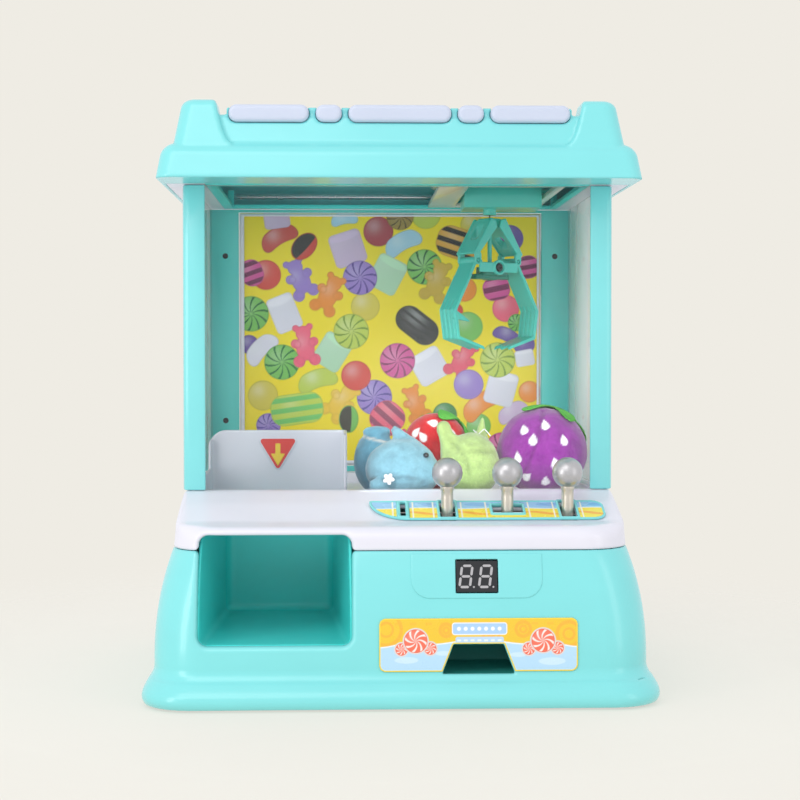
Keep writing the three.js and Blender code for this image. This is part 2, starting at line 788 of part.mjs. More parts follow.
function lightShape([left, right], margin) {
  const bottom = LIGHT_BOTTOM - margin;
  const top = LIGHT_TOP + margin;
  return roundedRectangle(left - margin, right + margin, bottom, top, LIGHT_RADIUS + margin);
}

function lightCover(span) {
  return prismY(lightShape(span, 0), CROWN.front - 0.4, -70);
}

function roofShell() {
  const crown = loft([ROOF_SHOULDER - 3, 348, 356].map((z) => crownLevel(z, 0)));
  const brow = box(-106, 106, CROWN.front + 4.2, -66, 340, ROOF_PANEL_TOP);
  const turrets = [1, -1].flatMap((side) => [turret(side, true), turret(side, false)]);
  const bandHollow = roofBand(WALL, ROOF_BOTTOM - 1);
  const crownHollow = box(-130, 130, -64, 122, ROOF_SHOULDER - 10, 353.6);
  const underside = roofBand(0, ROOF_BOTTOM).intersect(
    box(-ROOF_X, ROOF_X, ROOF_FRONT, POST_FRONT - 0.3, ROOF_BOTTOM, ROOF_BOTTOM + 2.4),
  );
  const pockets = LIGHTS.map((span) => prismY(lightShape(span, GAP), -100, -69.6));
  return union(roofBand(0, ROOF_BOTTOM), crown, brow, ...turrets)
    .subtract(bandHollow)
    .subtract(crownHollow)
    .add(underside)
    .subtract(union(...pockets));
}

// Pale U-shaped closing plate under the sides and the rear of the roof.
function roofTray() {
  const plate = roofBand(WALL + GAP, ROOF_BOTTOM - 1).intersect(
    box(-ROOF_X, ROOF_X, POST_FRONT + 0.1, ROOF_REAR, ROOF_BOTTOM + 0.1, ROOF_BOTTOM + 2.1),
  );
  const rear = REAR_WALL - 0.5;
  return plate.subtract(box(-122, 122, POST_FRONT - 5, rear, ROOF_BOTTOM - 5, ROOF_BOTTOM + 5));
}

// Ceiling ring with the opening that the claw travels in, and the rail holders.
function ceilingFrame() {
  const top = ROOF_BOTTOM + 2.5;
  const ring = box(-121.6, 121.6, POST_FRONT + 0.1, REAR_WALL - 0.9, ROOF_BOTTOM, top);
  const opening = prismZ(roundedRectangle(-115, 117, -38, 117, 2), 300, 330);
  const holders = [-116.5, 119.3].flatMap((x) =>
    [RAIL_FRONT, RAIL_REAR].map((y) => box(x - 2.2, x + 2.2, y - 3.9, y + 3.9, top - 0.5, RAIL_Z + 4)),
  );
  const bores = [RAIL_FRONT, RAIL_REAR].map((y) => railRod(y, RAIL_RADIUS + 0.3, 0.3));
  return union(ring.subtract(opening), ...holders).subtract(union(...bores));
}

function railRod(y, radius, extra) {
  return rod([-118 - extra, y, RAIL_Z], [120.6 + extra, y, RAIL_Z], radius, 12);
}

// ---------------------------------------------------------------- gantry
// Rectangular bridge that runs left and right on the two rails.
function bridgeFrame() {
  const { left, right, front, rear, bottom, top } = BRIDGE;
  const hole = BRIDGE_OPENING;
  const ring = box(left, right, front, rear, bottom, top).subtract(
    box(hole.left, hole.right, hole.front, hole.rear, bottom - 1, top + 1),
  );
  const near = 55;
  const far = 79;
  const web = 2.4;
  const frontSlide = box(near, far, RAIL_FRONT - 4.5, front + web, RAIL_Z - 5, RAIL_Z + 5);
  const frontWeb = box(near, far, front, front + web, bottom, RAIL_Z);
  const rearSlide = box(near, far, rear - web, RAIL_REAR + 4.5, RAIL_Z - 5, RAIL_Z + 5);
  const rearWeb = box(near, far, rear - web, rear, bottom, RAIL_Z);
  const bores = [RAIL_FRONT, RAIL_REAR].map((y) => railRod(y, RAIL_RADIUS + 0.3, 5));
  return union(ring, frontSlide, frontWeb, rearSlide, rearWeb).subtract(union(...bores));
}

function bridgeMotor() {
  const can = rod([30, 10, 327.6], [30, 34, 327.6], 7, 16);
  const base = box(28, 37.5, 8, 36, BRIDGE.top + GAP, 324);
  return can.add(base);
}

// Carriage that runs to the front and the rear on the bridge and carries the winch.
function carriage() {
  const { left, right, front, rear, bottom, top, wall } = CARRIAGE;
  const tub = box(left, right, front, rear, bottom, top).subtract(
    box(left + wall, right - wall, front + wall, rear - wall, bottom + wall, top + 1),
  );
  const shoeBottom = BRIDGE.top + 0.5;
  const shoes = [
    box(39.5, left + 0.5, front + 3, rear - 3, shoeBottom, shoeBottom + 2.4),
    box(right - 0.5, 107, front + 3, rear - 3, shoeBottom, shoeBottom + 2.4),
  ];
  const boss = rod([CLAW.x, CLAW.y, bottom - 4], [CLAW.x, CLAW.y, bottom + 1], 4.6, 16);
  const lead = rod([CLAW.x, CLAW.y, bottom - 6], [CLAW.x, CLAW.y, bottom + 4], 1.3, 10);
  return union(tub, boss, ...shoes).subtract(lead);
}

const SPOOL = { y: CLAW.y + 6, z: 321.6, drum: 5.1, flange: 8.2 };

function hoistSpool() {
  const { y, z, drum, flange } = SPOOL;
  const axle = rod([50.4, y, z], [84, y, z], 1.5, 10);
  const barrel = rod([58, y, z], [76, y, z], drum, 16);
  const flanges = [
    [57, 59],
    [75, 77],
  ].map(([x0, x1]) => rod([x0, y, z], [x1, y, z], flange, 20));
  return union(axle, barrel, ...flanges);
}

function hoistMotor() {
  return box(84.5, 98.7, 44, 73.6, CARRIAGE.bottom + CARRIAGE.wall + GAP, CARRIAGE.top + 3);
}

function hoistString() {
  return rod([CLAW.x, CLAW.y, CLAW.top + 0.3], [CLAW.x, CLAW.y, SPOOL.z], 0.5, 8);
}

// ---------------------------------------------------------------- claw
// Claw pieces are drawn about their own axis, X across the fingers, then put in place.
function placeClaw(mesh) {
  mesh.rotation.z = CLAW.turn;
  mesh.position.set(CLAW.x, CLAW.y, 0);
  return mesh;
}

// Tent-shaped frame: two sloping plates, ears for the finger pivots, a guide rod.
function clawFrame() {
  const { top, pivotZ, pivotR } = CLAW;
  const cap = box(-6, 6, -6, 6, top - 6, top);
  const plates = [-1, 1].map((side) => {
    const slope = polygon([
      [side * 3, top - 2],
      [side * 6, top - 1],
      [side * (pivotR + 3), pivotZ + 5],
      [side * (pivotR + 1), pivotZ + 4],
      [side * 2, top - 6],
    ]);
    return prismY(slope, -10, 10);
  });
  const ears = [-1, 1].flatMap((side) =>
    [-1, 1].map((end) => {
      const near = Math.min(end * 8.1, end * 10);
      const inner = Math.min(side * (pivotR - 2.6), side * (pivotR + 2.6));
      return box(inner, inner + 5.2, near, near + 1.9, pivotZ - 2.8, pivotZ + 6);
    }),
  );
  const rodEnd = pivotZ - 8.6;
  const guide = rod([0, 0, rodEnd], [0, 0, top - 4], 1.5, 10);
  const bores = [-1, 1].map((side) =>
    rod([side * pivotR, -12, pivotZ], [side * pivotR, 12, pivotZ], 1.4, 10),
  );
  return union(cap, guide, ...plates, ...ears).subtract(union(...bores));
}

// Three-lobed block on the guide rod; raising it closes the fingers.
function clawHub() {
  const top = CLAW.pivotZ - 4;
  const bottom = top - 9;
  const disc = rod([0, 0, bottom + 3], [0, 0, top], 9.5, 18);
  const neck = rod([0, 0, bottom], [0, 0, bottom + 4], 5, 16);
  const lobes = [0, 1, 2].map((i) => {
    const angle = Math.PI / 2 + (i * 2 * Math.PI) / 3;
    const x = 8.5 * Math.cos(angle);
    const y = 8.5 * Math.sin(angle);
    return rod([x, y, bottom + 3], [x, y, top], 4, 12);
  });
  const bore = rod([0, 0, bottom + 2], [0, 0, top + 1], 1.9, 10);
  return union(disc, neck, ...lobes).subtract(bore);
}

// Bent strip finger with a lever over the hub and a toothed tip.
function clawFinger(side) {
  const { pivotZ, pivotR } = CLAW;
  const strip = polygon([
    [side * (pivotR + 1.6), pivotZ],
    [side * 38.2, pivotZ - 34],
    [side * 35.2, pivotZ - 54],
    [side * 10.5, pivotZ - 61.5],
    [side * 12, pivotZ - 58.8],
    [side * 33, pivotZ - 52],
    [side * 35.4, pivotZ - 34],
    [side * (pivotR - 1.2), pivotZ],
  ]);
  const blade = prismY(strip, -8.5, 8.5);
  const barrel = rod([side * pivotR, -7.7, pivotZ], [side * pivotR, 7.7, pivotZ], 2.6, 12);
  const trunnion = rod([side * pivotR, -9.7, pivotZ], [side * pivotR, 9.7, pivotZ], 1, 10);
  const leverEnd = side * 8.6;
  const leverStart = side * (pivotR - 1);
  const lever = box(
    Math.min(leverEnd, leverStart),
    Math.max(leverEnd, leverStart),
    -3,
    3,
    pivotZ - 1.2,
    pivotZ + 0.8,
  );
  const notches = [-4.2, 4.2].map((y) => {
    const wedge = polygon([
      [side * 5, y - 2.6],
      [side * 22, y],
      [side * 5, y + 2.6],
    ]);
    return prismZ(wedge, pivotZ - 70, pivotZ - 50);
  });
  const shoulder = [-1, 1].map((end) => {
    const near = Math.min(end * 7.9, end * 12);
    return box(-40, 40, near, near + 4.1, pivotZ - 6, pivotZ + 4);
  });
  const body = union(blade, barrel).subtract(union(...notches, ...shoulder));
  return union(body, trunnion, lever);
}

// ---------------------------------------------------------------- stuffed prizes
function prizeSolids() {
  const floor = BIN_FLOOR + 0.4;
  const purple = ellipsoid(96, -9, floor + 29.5, 30.5, 27, 29.5);
  const greenBody = ellipsoid(48, -21, floor + 22, 19, 17.5, 22);
  const greenEar = rod([34, -22, floor + 30], [31, -22, floor + 50], 5.2, 12);
  const green = greenBody.add(greenEar);
  const blue = ellipsoid(3, -20, floor + 20, 24, 18.5, 20);
  const red = ellipsoid(26, 5, floor + 26, 20.5, 17, 26);
  const blueRear = ellipsoid(-13, 24, floor + 22, 15.5, 15, 22);
  const spread = (solid, amount) => {
    const size = solid.boundingBox();
    const centre = [0, 1, 2].map((i) => (size.min[i] + size.max[i]) / 2);
    const grow = [0, 1, 2].map((i) => 1 + (2 * amount) / (size.max[i] - size.min[i]));
    return solid
      .translate(centre.map((c) => -c))
      .scale(grow)
      .translate(centre);
  };
  return {
    purple,
    blue,
    green: green.subtract(spread(purple, 1)).subtract(spread(blue, 1)),
    red: red.subtract(spread(blue, 1)).subtract(spread(green, 1.5)),
    blueRear: blueRear.subtract(spread(blue, 1)).subtract(spread(red, 1)),
  };
}

// ---------------------------------------------------------------- assembly
const machine = new THREE.Group();

function add(parent, name, solid, material) {
  const mesh = new THREE.Mesh(toGeometry(solid), material);
  mesh.name = name;
  parent.add(mesh);
  return mesh;
}

function addBase() {
  const base = new THREE.Group();
  add(base, "base_shell", baseShell(), AQUA);
  add(base, "base_plate", basePlate(), GREY_WHITE);
  add(base, "foot_front_left", foot(-125, -105), RUBBER);
  add(base, "foot_front_right", foot(125, -105), RUBBER);
  add(base, "foot_rear_left", foot(-125, 108), RUBBER);
  add(base, "foot_rear_right", foot(125, 108), RUBBER);
  add(base, "outlet_tray", outletTray(), TEAL);
  add(base, "coin_cup", coinCup(), TEAL);
  add(base, "coin_channel", coinChannel(), GREY_WHITE);
  add(base, "front_label", frontLabel(), YELLOW);
  add(base, "led_display", displayBlock(0, -0.4, DISPLAY.depth), BLACK);
  add(base, "main_board", mainBoard(), BOARD);
  add(base, "battery_door", batteryDoor(), AQUA);
  add(base, "power_switch", powerSwitch(), BLACK);
  return base;
}

function addDeck() {
  const group = new THREE.Group();
  add(group, "deck", deck(), WHITE);
  add(group, "console_panel", consolePanel(), AQUA);
  add(group, "bin_floor", binFloor(), WHITE);
  add(group, "chute_duct", chuteDuct(), WHITE);
  add(group, "chute_sign", chuteSign(), RED);
  add(group, "joystick_bracket", stickBracket(), GREY_WHITE);
  STICKS.forEach((stick) => {
    add(group, `joystick_shaft_${stick.name}`, stickShaft(stick), SILVER);
    add(group, `joystick_knob_${stick.name}`, stickKnob(stick), SILVER);
  });
  return group;
}

function addCabinet() {
  const cabinet = new THREE.Group();
  add(cabinet, "front_post_left", frontPost(-1), AQUA);
  add(cabinet, "front_post_right", frontPost(1), AQUA);
  add(cabinet, "front_window", frontWindow(), CLEAR);
  add(cabinet, "side_window_left", sideWindow(-1), CLEAR);
  add(cabinet, "side_window_right", sideWindow(1), CLEAR);
  add(cabinet, "rear_frame", rearFrame(), AQUA);
  add(cabinet, "rear_door", rearDoor(), AQUA);
  add(cabinet, "backdrop_card", backdropCard(), YELLOW);
  add(cabinet, "door_hinge_pin", doorHingePin(), STEEL);
  return cabinet;
}

function addRoof() {
  const roof = new THREE.Group();
  add(roof, "roof_shell", roofShell(), AQUA);
  add(roof, "roof_tray", roofTray(), GREY_WHITE);
  add(roof, "ceiling_frame", ceilingFrame(), TEAL);
  LIGHTS.forEach((span, i) => add(roof, `light_cover_${i + 1}`, lightCover(span), FROSTED));
  add(roof, "gantry_rail_front", railRod(RAIL_FRONT, RAIL_RADIUS, 0), STEEL);
  add(roof, "gantry_rail_rear", railRod(RAIL_REAR, RAIL_RADIUS, 0), STEEL);
  return roof;
}

function addGantry() {
  const gantry = new THREE.Group();
  add(gantry, "bridge_frame", bridgeFrame(), GREY_WHITE);
  add(gantry, "bridge_motor", bridgeMotor(), STEEL);
  add(gantry, "carriage", carriage(), CLAW_TEAL);
  add(gantry, "hoist_spool", hoistSpool(), WHITE);
  add(gantry, "hoist_motor", hoistMotor(), BLACK);
  add(gantry, "hoist_string", hoistString(), BLACK);
  placeClaw(add(gantry, "claw_frame", clawFrame(), CLAW_TEAL));
  placeClaw(add(gantry, "claw_hub", clawHub(), CLAW_DARK));
  placeClaw(add(gantry, "claw_finger_left", clawFinger(-1), CLAW_TEAL));
  placeClaw(add(gantry, "claw_finger_right", clawFinger(1), CLAW_TEAL));
  return gantry;
}

function addPrizes() {
  const prizes = new THREE.Group();
  const solids = prizeSolids();
  add(prizes, "purple_berry_plush", solids.purple, PURPLE_FABRIC);
  add(prizes, "red_berry_plush", solids.red, RED_FABRIC);
  add(prizes, "green_plush", solids.green, GREEN_FABRIC);
  add(prizes, "blue_plush", solids.blue, BLUE_FABRIC);
  add(prizes, "blue_plush_rear", solids.blueRear, BLUE_FABRIC);
  return prizes;
}

machine.add(addBase(), addDeck(), addCabinet(), addRoof(), addGantry(), addPrizes());

export default machine;
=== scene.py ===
"""Looks of a table-top claw crane machine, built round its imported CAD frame.

Shapes are drawn in millimetres, in the frame's own axes: +X right, +Y to the rear, +Z up.
A moulded part is a field: a function of x, y and z that is negative inside the plastic.
"""

import math

import bpy
import numpy as np
from mathutils import Matrix, Vector


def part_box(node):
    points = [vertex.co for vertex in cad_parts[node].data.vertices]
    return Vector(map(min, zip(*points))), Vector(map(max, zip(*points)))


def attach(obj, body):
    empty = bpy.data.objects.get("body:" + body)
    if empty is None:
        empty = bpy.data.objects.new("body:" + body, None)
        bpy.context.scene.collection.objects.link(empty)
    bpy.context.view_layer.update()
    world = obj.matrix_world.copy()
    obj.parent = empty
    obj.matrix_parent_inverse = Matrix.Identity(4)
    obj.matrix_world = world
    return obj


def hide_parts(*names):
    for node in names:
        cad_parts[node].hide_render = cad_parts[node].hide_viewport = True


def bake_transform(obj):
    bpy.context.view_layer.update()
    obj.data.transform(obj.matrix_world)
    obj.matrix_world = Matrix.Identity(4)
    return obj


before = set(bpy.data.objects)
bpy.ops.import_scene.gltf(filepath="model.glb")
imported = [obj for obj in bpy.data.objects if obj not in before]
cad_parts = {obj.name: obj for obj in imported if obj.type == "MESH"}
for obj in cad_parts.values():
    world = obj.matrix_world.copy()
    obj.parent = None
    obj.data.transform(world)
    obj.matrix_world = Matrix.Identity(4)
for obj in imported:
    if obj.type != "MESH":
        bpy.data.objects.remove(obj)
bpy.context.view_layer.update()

MM = 0.001
WALL = 2.4  # moulded shell thickness at open edges
MOULD_WALL = 3.2  # thickness where nothing sits against the inside


def span(node):
    """Lowest and highest corner of a CAD node, in millimetres."""
    low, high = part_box(node)
    return np.array(low) / MM, np.array(high) / MM


# ------------------------------------------------------------------ fields
def both(a, b, radius):
    """Where a and b overlap, with the new outer edge rounded."""
    u = np.maximum(radius + a, 0)
    v = np.maximum(radius + b, 0)
    return np.minimum(-radius, np.maximum(a, b)) + np.hypot(u, v)


def either(a, b, radius):
    """a and b joined, with the new inner corner filleted."""
    u = np.maximum(radius - a, 0)
    v = np.maximum(radius - b, 0)
    return np.maximum(radius, np.minimum(a, b)) - np.hypot(u, v)


def cut(a, b, radius):
    """a with b taken away, with the new edge rounded."""
    return both(a, -b, radius)


def rectangle(u, v, u0, u1, v0, v1, radius):
    """A rounded rectangle in u and v."""
    du = np.abs(u - (u0 + u1) / 2) - (u1 - u0) / 2 + radius
    dv = np.abs(v - (v0 + v1) / 2) - (v1 - v0) / 2 + radius
    return np.hypot(np.maximum(du, 0), np.maximum(dv, 0)) + np.minimum(np.maximum(du, dv), 0) - radius


def slab(v, low, high):
    """Everything between two planes."""
    return np.maximum(low - v, v - high)


def block(x, y, z, low, high, radius):
    """A box with all its edges rounded."""
    flat = rectangle(x, y, low[0], high[0], low[1], high[1], radius)
    return both(flat, slab(z, low[2], high[2]), radius)


def ellipse(u, v, cu, cv, ru, rv):
    """An ellipse round (cu, cv)."""
    k = np.hypot((u - cu) / ru, (v - cv) / rv)
    return (k - 1) * min(ru, rv)


def ellipsoid(x, y, z, centre, radii):
    """An egg with its own radius along each axis."""
    scaled = [(p - c) / r for p, c, r in zip((x, y, z), centre, radii)]
    k0 = np.sqrt(sum(s * s for s in scaled))
    k1 = np.sqrt(sum((s / r) ** 2 for s, r in zip(scaled, radii))) + 1e-9
    return k0 * (k0 - 1) / k1


def segment(x, y, z, start, end, radius0, radius1=None):
    """A round bar from start to end, whose radius changes evenly."""
    radius1 = radius0 if radius1 is None else radius1
    axis = np.subtract(end, start)
    px, py, pz = x - start[0], y - start[1], z - start[2]
    t = np.clip((px * axis[0] + py * axis[1] + pz * axis[2]) / np.dot(axis, axis), 0, 1)
    gap = np.sqrt((px - t * axis[0]) ** 2 + (py - t * axis[1]) ** 2 + (pz - t * axis[2]) ** 2)
    return gap - (radius0 + (radius1 - radius0) * t)


def polygon(u, v, corners, radius=0.0):
    """A polygon grown by radius."""
    nearest = np.full(np.shape(u), 1e12)
    side = np.ones(np.shape(u))
    for (u0, v0), (u1, v1) in zip(corners, corners[-1:] + corners[:-1]):
        along_u, along_v = u1 - u0, v1 - v0
        du, dv = u - u0, v - v0
        t = np.clip((du * along_u + dv * along_v) / (along_u**2 + along_v**2), 0, 1)
        nearest = np.minimum(nearest, (du - along_u * t) ** 2 + (dv - along_v * t) ** 2)
        above, below, left = v >= v0, v < v1, along_u * dv > along_v * du
        side = np.where((above & below & left) | (~above & ~below & ~left), -side, side)
    return side * np.sqrt(nearest) - radius


def ease(t):
    """0 to 1 with a soft start and a soft end."""
    t = np.clip(t, 0, 1)
    return t * t * (3 - 2 * t)


def net(field, low, high, cell):
    """The field's zero level inside the box, as points and quads, by surface nets."""
    lines = [np.arange(a - 1.5 * cell, b + 2.5 * cell, cell) for a, b in zip(low, high)]
    value = np.asarray(field(*np.meshgrid(*lines, indexing="ij")), np.float32)
    inside = value < 0
    cells = tuple(n - 1 for n in value.shape)
    total = np.zeros((*cells, 3), np.float32)
    count = np.zeros(cells, np.int16)
    crossings = []
    for axis in range(3):
        others = [a for a in range(3) if a != axis]
        near = tuple(slice(0, -1) if a == axis else slice(None) for a in range(3))
        far = tuple(slice(1, None) if a == axis else slice(None) for a in range(3))
        crossed = inside[near] != inside[far]
        change = np.where(crossed, value[near] - value[far], 1)
        share = np.where(crossed, value[near] / change, 0)
        crossings.append((axis, others, crossed, inside[near]))
        for step0 in (0, 1):
            for step1 in (0, 1):
                window = [slice(None)] * 3
                window[others[0]] = slice(step0, step0 + cells[others[0]])
                window[others[1]] = slice(step1, step1 + cells[others[1]])
                hit = crossed[tuple(window)]
                total[..., axis] += share[tuple(window)]
                total[..., others[0]] += step0 * hit
                total[..., others[1]] += step1 * hit
                count += hit
    kept = count > 0
    number = np.full(cells, -1, np.int64)
    number[kept] = np.arange(kept.sum())
    where = np.argwhere(kept)
    points = (where + total[kept] / count[kept][:, None]) * cell + np.array([line[0] for line in lines])
    quads = []
    for axis, others, crossed, inward in crossings:
        place = np.argwhere(crossed)
        flip = inward[tuple(place.T)] != (axis == 1)
        corners = []
        for step0, step1 in ((-1, -1), (0, -1), (0, 0), (-1, 0)):
            spot = place.copy()
            spot[:, others[0]] += step0
            spot[:, others[1]] += step1
            corners.append(number[tuple(spot.T)])
        quad = np.stack(corners, 1)
        quad[~flip] = quad[~flip][:, ::-1]
        quads.append(quad)
    return settle(field, points, cell), np.concatenate(quads)


def settle(field, points, cell):
    """Moves points on to the field's zero level."""
    nudge = 0.04 * cell
    start = points.copy()
    for _ in range(3):
        value = field(*points.T)
        rises = [field(*(points + step).T) - field(*(points - step).T) for step in np.eye(3) * nudge]
        slope = np.stack(rises, 1) / (2 * nudge)
        steep = np.maximum((slope**2).sum(1), 0.05)
        points = points - slope * (value / steep)[:, None]
        points = start + np.clip(points - start, -0.6 * cell, 0.6 * cell)
    return points


# ------------------------------------------------------------------ pieces
def mesh_object(name, points, faces, place=None, smooth=True):
    """A mesh object from points in millimetres."""
    mesh = bpy.data.meshes.new(name)
    faces = faces.tolist() if isinstance(faces, np.ndarray) else [tuple(face) for face in faces]
    mesh.from_pydata((np.asarray(points, float) * MM).tolist(), [], faces)
    if place is not None:
        mesh.transform(place)
    mesh.polygons.foreach_set("use_smooth", [smooth] * len(mesh.polygons))
    made = bpy.data.objects.new(name, mesh)
    bpy.context.scene.collection.objects.link(made)
    return made


def settle_in(made, body, slot, material, *replaced):
    """Gives a piece its material and body, and hides what it stands for. The slot is not used."""
    made.data.materials.clear()
    made.data.materials.append(material)
    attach(made, body)
    if replaced:
        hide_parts(*replaced)
    return made


def moulded(name, field, low, high, cell, place=None):
    """A smooth piece from a field."""
    points, quads = net(field, low, high, cell)
    return mesh_object(name, points, quads, place)


def stand_in(node, name, field, cell, body, slot, material):
    """A moulded piece over a CAD node's own box, in that node's place."""
    low, high = span(node)
    return settle_in(moulded(name, field, low, high, cell), body, slot, material, node)


def front_of(x, z, low, high, radius, grow=0.0):
    """A box's outline seen from the front, grown on every side."""
    return rectangle(x, z, low[0] - grow, high[0] + grow, low[2] - grow, high[2] + grow, radius)


def turned(name, profile, centre, turns=48, axis="z"):
    """A lathe piece from (radius, height) points that start and end on the axis."""
    angle = np.arange(turns) * 2 * np.pi / turns
    rings = profile[1:-1]
    ring_points = [(r * np.cos(angle), r * np.sin(angle), np.full(turns, h)) for r, h in rings]
    points = [(0, 0, profile[0][1])] + [tuple(p) for ring in ring_points for p in np.stack(ring, 1)]
    points.append((0, 0, profile[-1][1]))
    faces = []
    last = len(points) - 1
    for i in range(turns):
        j = (i + 1) % turns
        faces.append((0, 1 + j, 1 + i))
        faces.append((last, last - turns + i, last - turns + j))
        for row in range(len(rings) - 1):
            a = 1 + row * turns
            faces.append((a + i, a + j, a + turns + j, a + turns + i))
    points = np.array(points, float)
    if axis == "x":
        points = points[:, [2, 0, 1]]
    if axis == "y":
        points = points[:, [1, 2, 0]]
    made = mesh_object(name, points + np.array(centre), faces)
    made.data.set_sharp_from_angle(angle=math.radians(50))
    return made


def arc(cx, cy, radius, start, end, steps=8):
    """Points on an arc, from the start angle to the end angle in degrees."""
    angle = np.radians(np.linspace(start, end, steps + 1))
    return list(zip(cx + radius * np.cos(angle), cy + radius * np.sin(angle)))


# ------------------------------------------------------------------ materials
def linear(colour):
    """Linear light from an sRGB colour of 0 to 255."""
    c = np.array(colour, float) / 255
    return np.where(c <= 0.04045, c / 12.92, ((c + 0.055) / 1.055) ** 2.4)


class Finish:
    """A node material with helpers for the usual patterns."""

    def __init__(self, name, **values):
        self.material = bpy.data.materials.new(name)
        self.material.use_nodes = True
        self.tree = self.material.node_tree
        self.shader = self.tree.nodes["Principled BSDF"]
        self.place = self.tree.nodes.new("ShaderNodeTexCoord").outputs["Object"]
        for key, value in values.items():
            self.shader.inputs[key.replace("_", " ")].default_value = value

    def node(self, kind, inputs=None, **settings):
        made = self.tree.nodes.new(kind)
        for key, value in settings.items():
            setattr(made, key, value)
        for key, value in (inputs or {}).items():
            if isinstance(value, bpy.types.NodeSocket):
                self.tree.links.new(value, made.inputs[key])
            else:
                made.inputs[key].default_value = value
        return made

    def noise(self, size, detail=3.0, rough=0.5, stretch=None):
        """Noise whose grains are about size millimetres."""
        vector = self.place
        if stretch is not None:
            vector = self.node("ShaderNodeMapping", {"Vector": vector, "Scale": stretch}).outputs[0]
        settings = {"Vector": vector, "Scale": 1 / (size * MM), "Detail": detail, "Roughness": rough}
        return self.node("ShaderNodeTexNoise", settings).outputs["Fac"]

    def ramp(self, value, low, high, start=0.3, end=0.7):
        """The value's range from start to end, stretched to run from low to high."""
        limits = {"Value": value, "From Min": start, "From Max": end, "To Min": low, "To Max": high}
        return self.node("ShaderNodeMapRange", limits).outputs[0]

    def mix(self, share, first, second, blend="MIX"):
        made = self.node("ShaderNodeMix", data_type="RGBA", blend_type=blend)
        for index, value in ((0, share), (6, first), (7, second)):
            if isinstance(value, bpy.types.NodeSocket):
                self.tree.links.new(value, made.inputs[index])
            elif index == 0:
                made.inputs[index].default_value = value
            else:
                made.inputs[index].default_value = (*value, 1)
        return made.outputs[2]

    def colour(self, socket):
        self.tree.links.new(socket, self.shader.inputs["Base Color"])

    def roughness(self, socket):
        self.tree.links.new(socket, self.shader.inputs["Roughness"])

    def bump(self, height, strength, distance):
        settings = {"Height": height, "Strength": strength, "Distance": distance * MM}
        made = self.node("ShaderNodeBump", settings)
        self.tree.links.new(made.outputs[0], self.shader.inputs["Normal"])


def plastic(name, colour, rough=0.3, coat=0.15, glow=0.0):
    """Glossy moulded plastic with faint flow marks and a slightly uneven polish."""
    made = Finish(name, Coat_Weight=coat, Coat_Roughness=0.12, IOR=1.49, Subsurface_Weight=glow)
    made.shader.inputs["Subsurface Radius"].default_value = (0.003, 0.003, 0.003)
    base = linear(colour)
    flow = made.noise(38, 2.0, stretch=(1, 1, 2.2))
    made.colour(made.mix(made.ramp(flow, 0, 1), tuple(base * 0.985), tuple(np.minimum(base * 1.01, 1))))
    made.roughness(made.ramp(made.noise(26, 1.0), rough * 0.95, rough * 1.05))
    return made.material


def satin_metal(name, colour, rough, grain=(1, 1, 1), coat=0.25):
    """Metal or metallic paint with fine streaks, stretched by grain."""
    made = Finish(name, Metallic=0.82, Coat_Weight=coat, Coat_Roughness=0.14)
    base = linear(colour)
    streak = made.noise(0.7, 4.0, 0.65, stretch=grain)
    made.colour(made.mix(made.ramp(streak, 0, 1), tuple(base * 0.9), tuple(np.minimum(base * 1.05, 1))))
    made.roughness(made.ramp(made.noise(3.5, 4.0), rough * 0.8, rough * 1.3))
    made.bump(streak, 0.06, 0.05)
    return made.material


def rubber(name, colour):
    """Matt rubber or thread with a grainy face."""
    made = Finish(name, Specular_IOR_Level=0.3)
    base = linear(colour)
    made.colour(made.mix(made.ramp(made.noise(1.4, 6.0), 0, 1), tuple(base * 0.75), tuple(base * 1.5)))
    made.roughness(made.ramp(made.noise(4), 0.7, 0.92))
    made.bump(made.noise(0.5, 4.0), 0.35, 0.15)
    return made.material


def clear_plastic(name, tint):
    """Clear sheet: what it mirrors depends on the angle, with faint wipe marks."""
    made = Finish(name, IOR=1.45)
    made.shader.inputs["Base Color"].default_value = (*tint, 1)
    made.roughness(made.ramp(made.noise(30, 4.0), 0.03, 0.09))
    wipe = made.ramp(made.noise(55, 3.0, 0.6, stretch=(1, 1, 0.35)), 0.0, 0.012)
    mirror = made.node("ShaderNodeFresnel", {"IOR": 1.18}).outputs[0]
    share = made.node("ShaderNodeMath", {0: mirror, 1: wipe}, operation="ADD").outputs[0]
    through = made.node("ShaderNodeBsdfTransparent", {"Color": (*tint, 1)})
    blend = made.node("ShaderNodeMixShader", {0: share, 1: through.outputs[0], 2: made.shader.outputs[0]})
    made.tree.links.new(blend.outputs[0], made.tree.nodes["Material Output"].inputs["Surface"])
    return made.material


def printed(name, gloss):
    """Ink laid down by the piece's own colours, on coated paper."""
    grain = 0.35
    made = Finish(name, Coat_Weight=0.35, Coat_Roughness=gloss * 0.6)
    ink = made.node("ShaderNodeVertexColor", layer_name="ink").outputs["Color"]
    fleck = made.ramp(made.noise(grain, 3.0), 0.0, 1.0)
    shade = made.mix(fleck, (0.95, 0.95, 0.95), (1, 1, 1))
    made.colour(made.mix(1.0, ink, shade, "MULTIPLY"))
    made.roughness(made.ramp(made.noise(14, 3.0), gloss * 0.85, gloss * 1.2))
    made.bump(made.noise(grain * 2, 3.0), 0.04, 0.05)
    return made.material


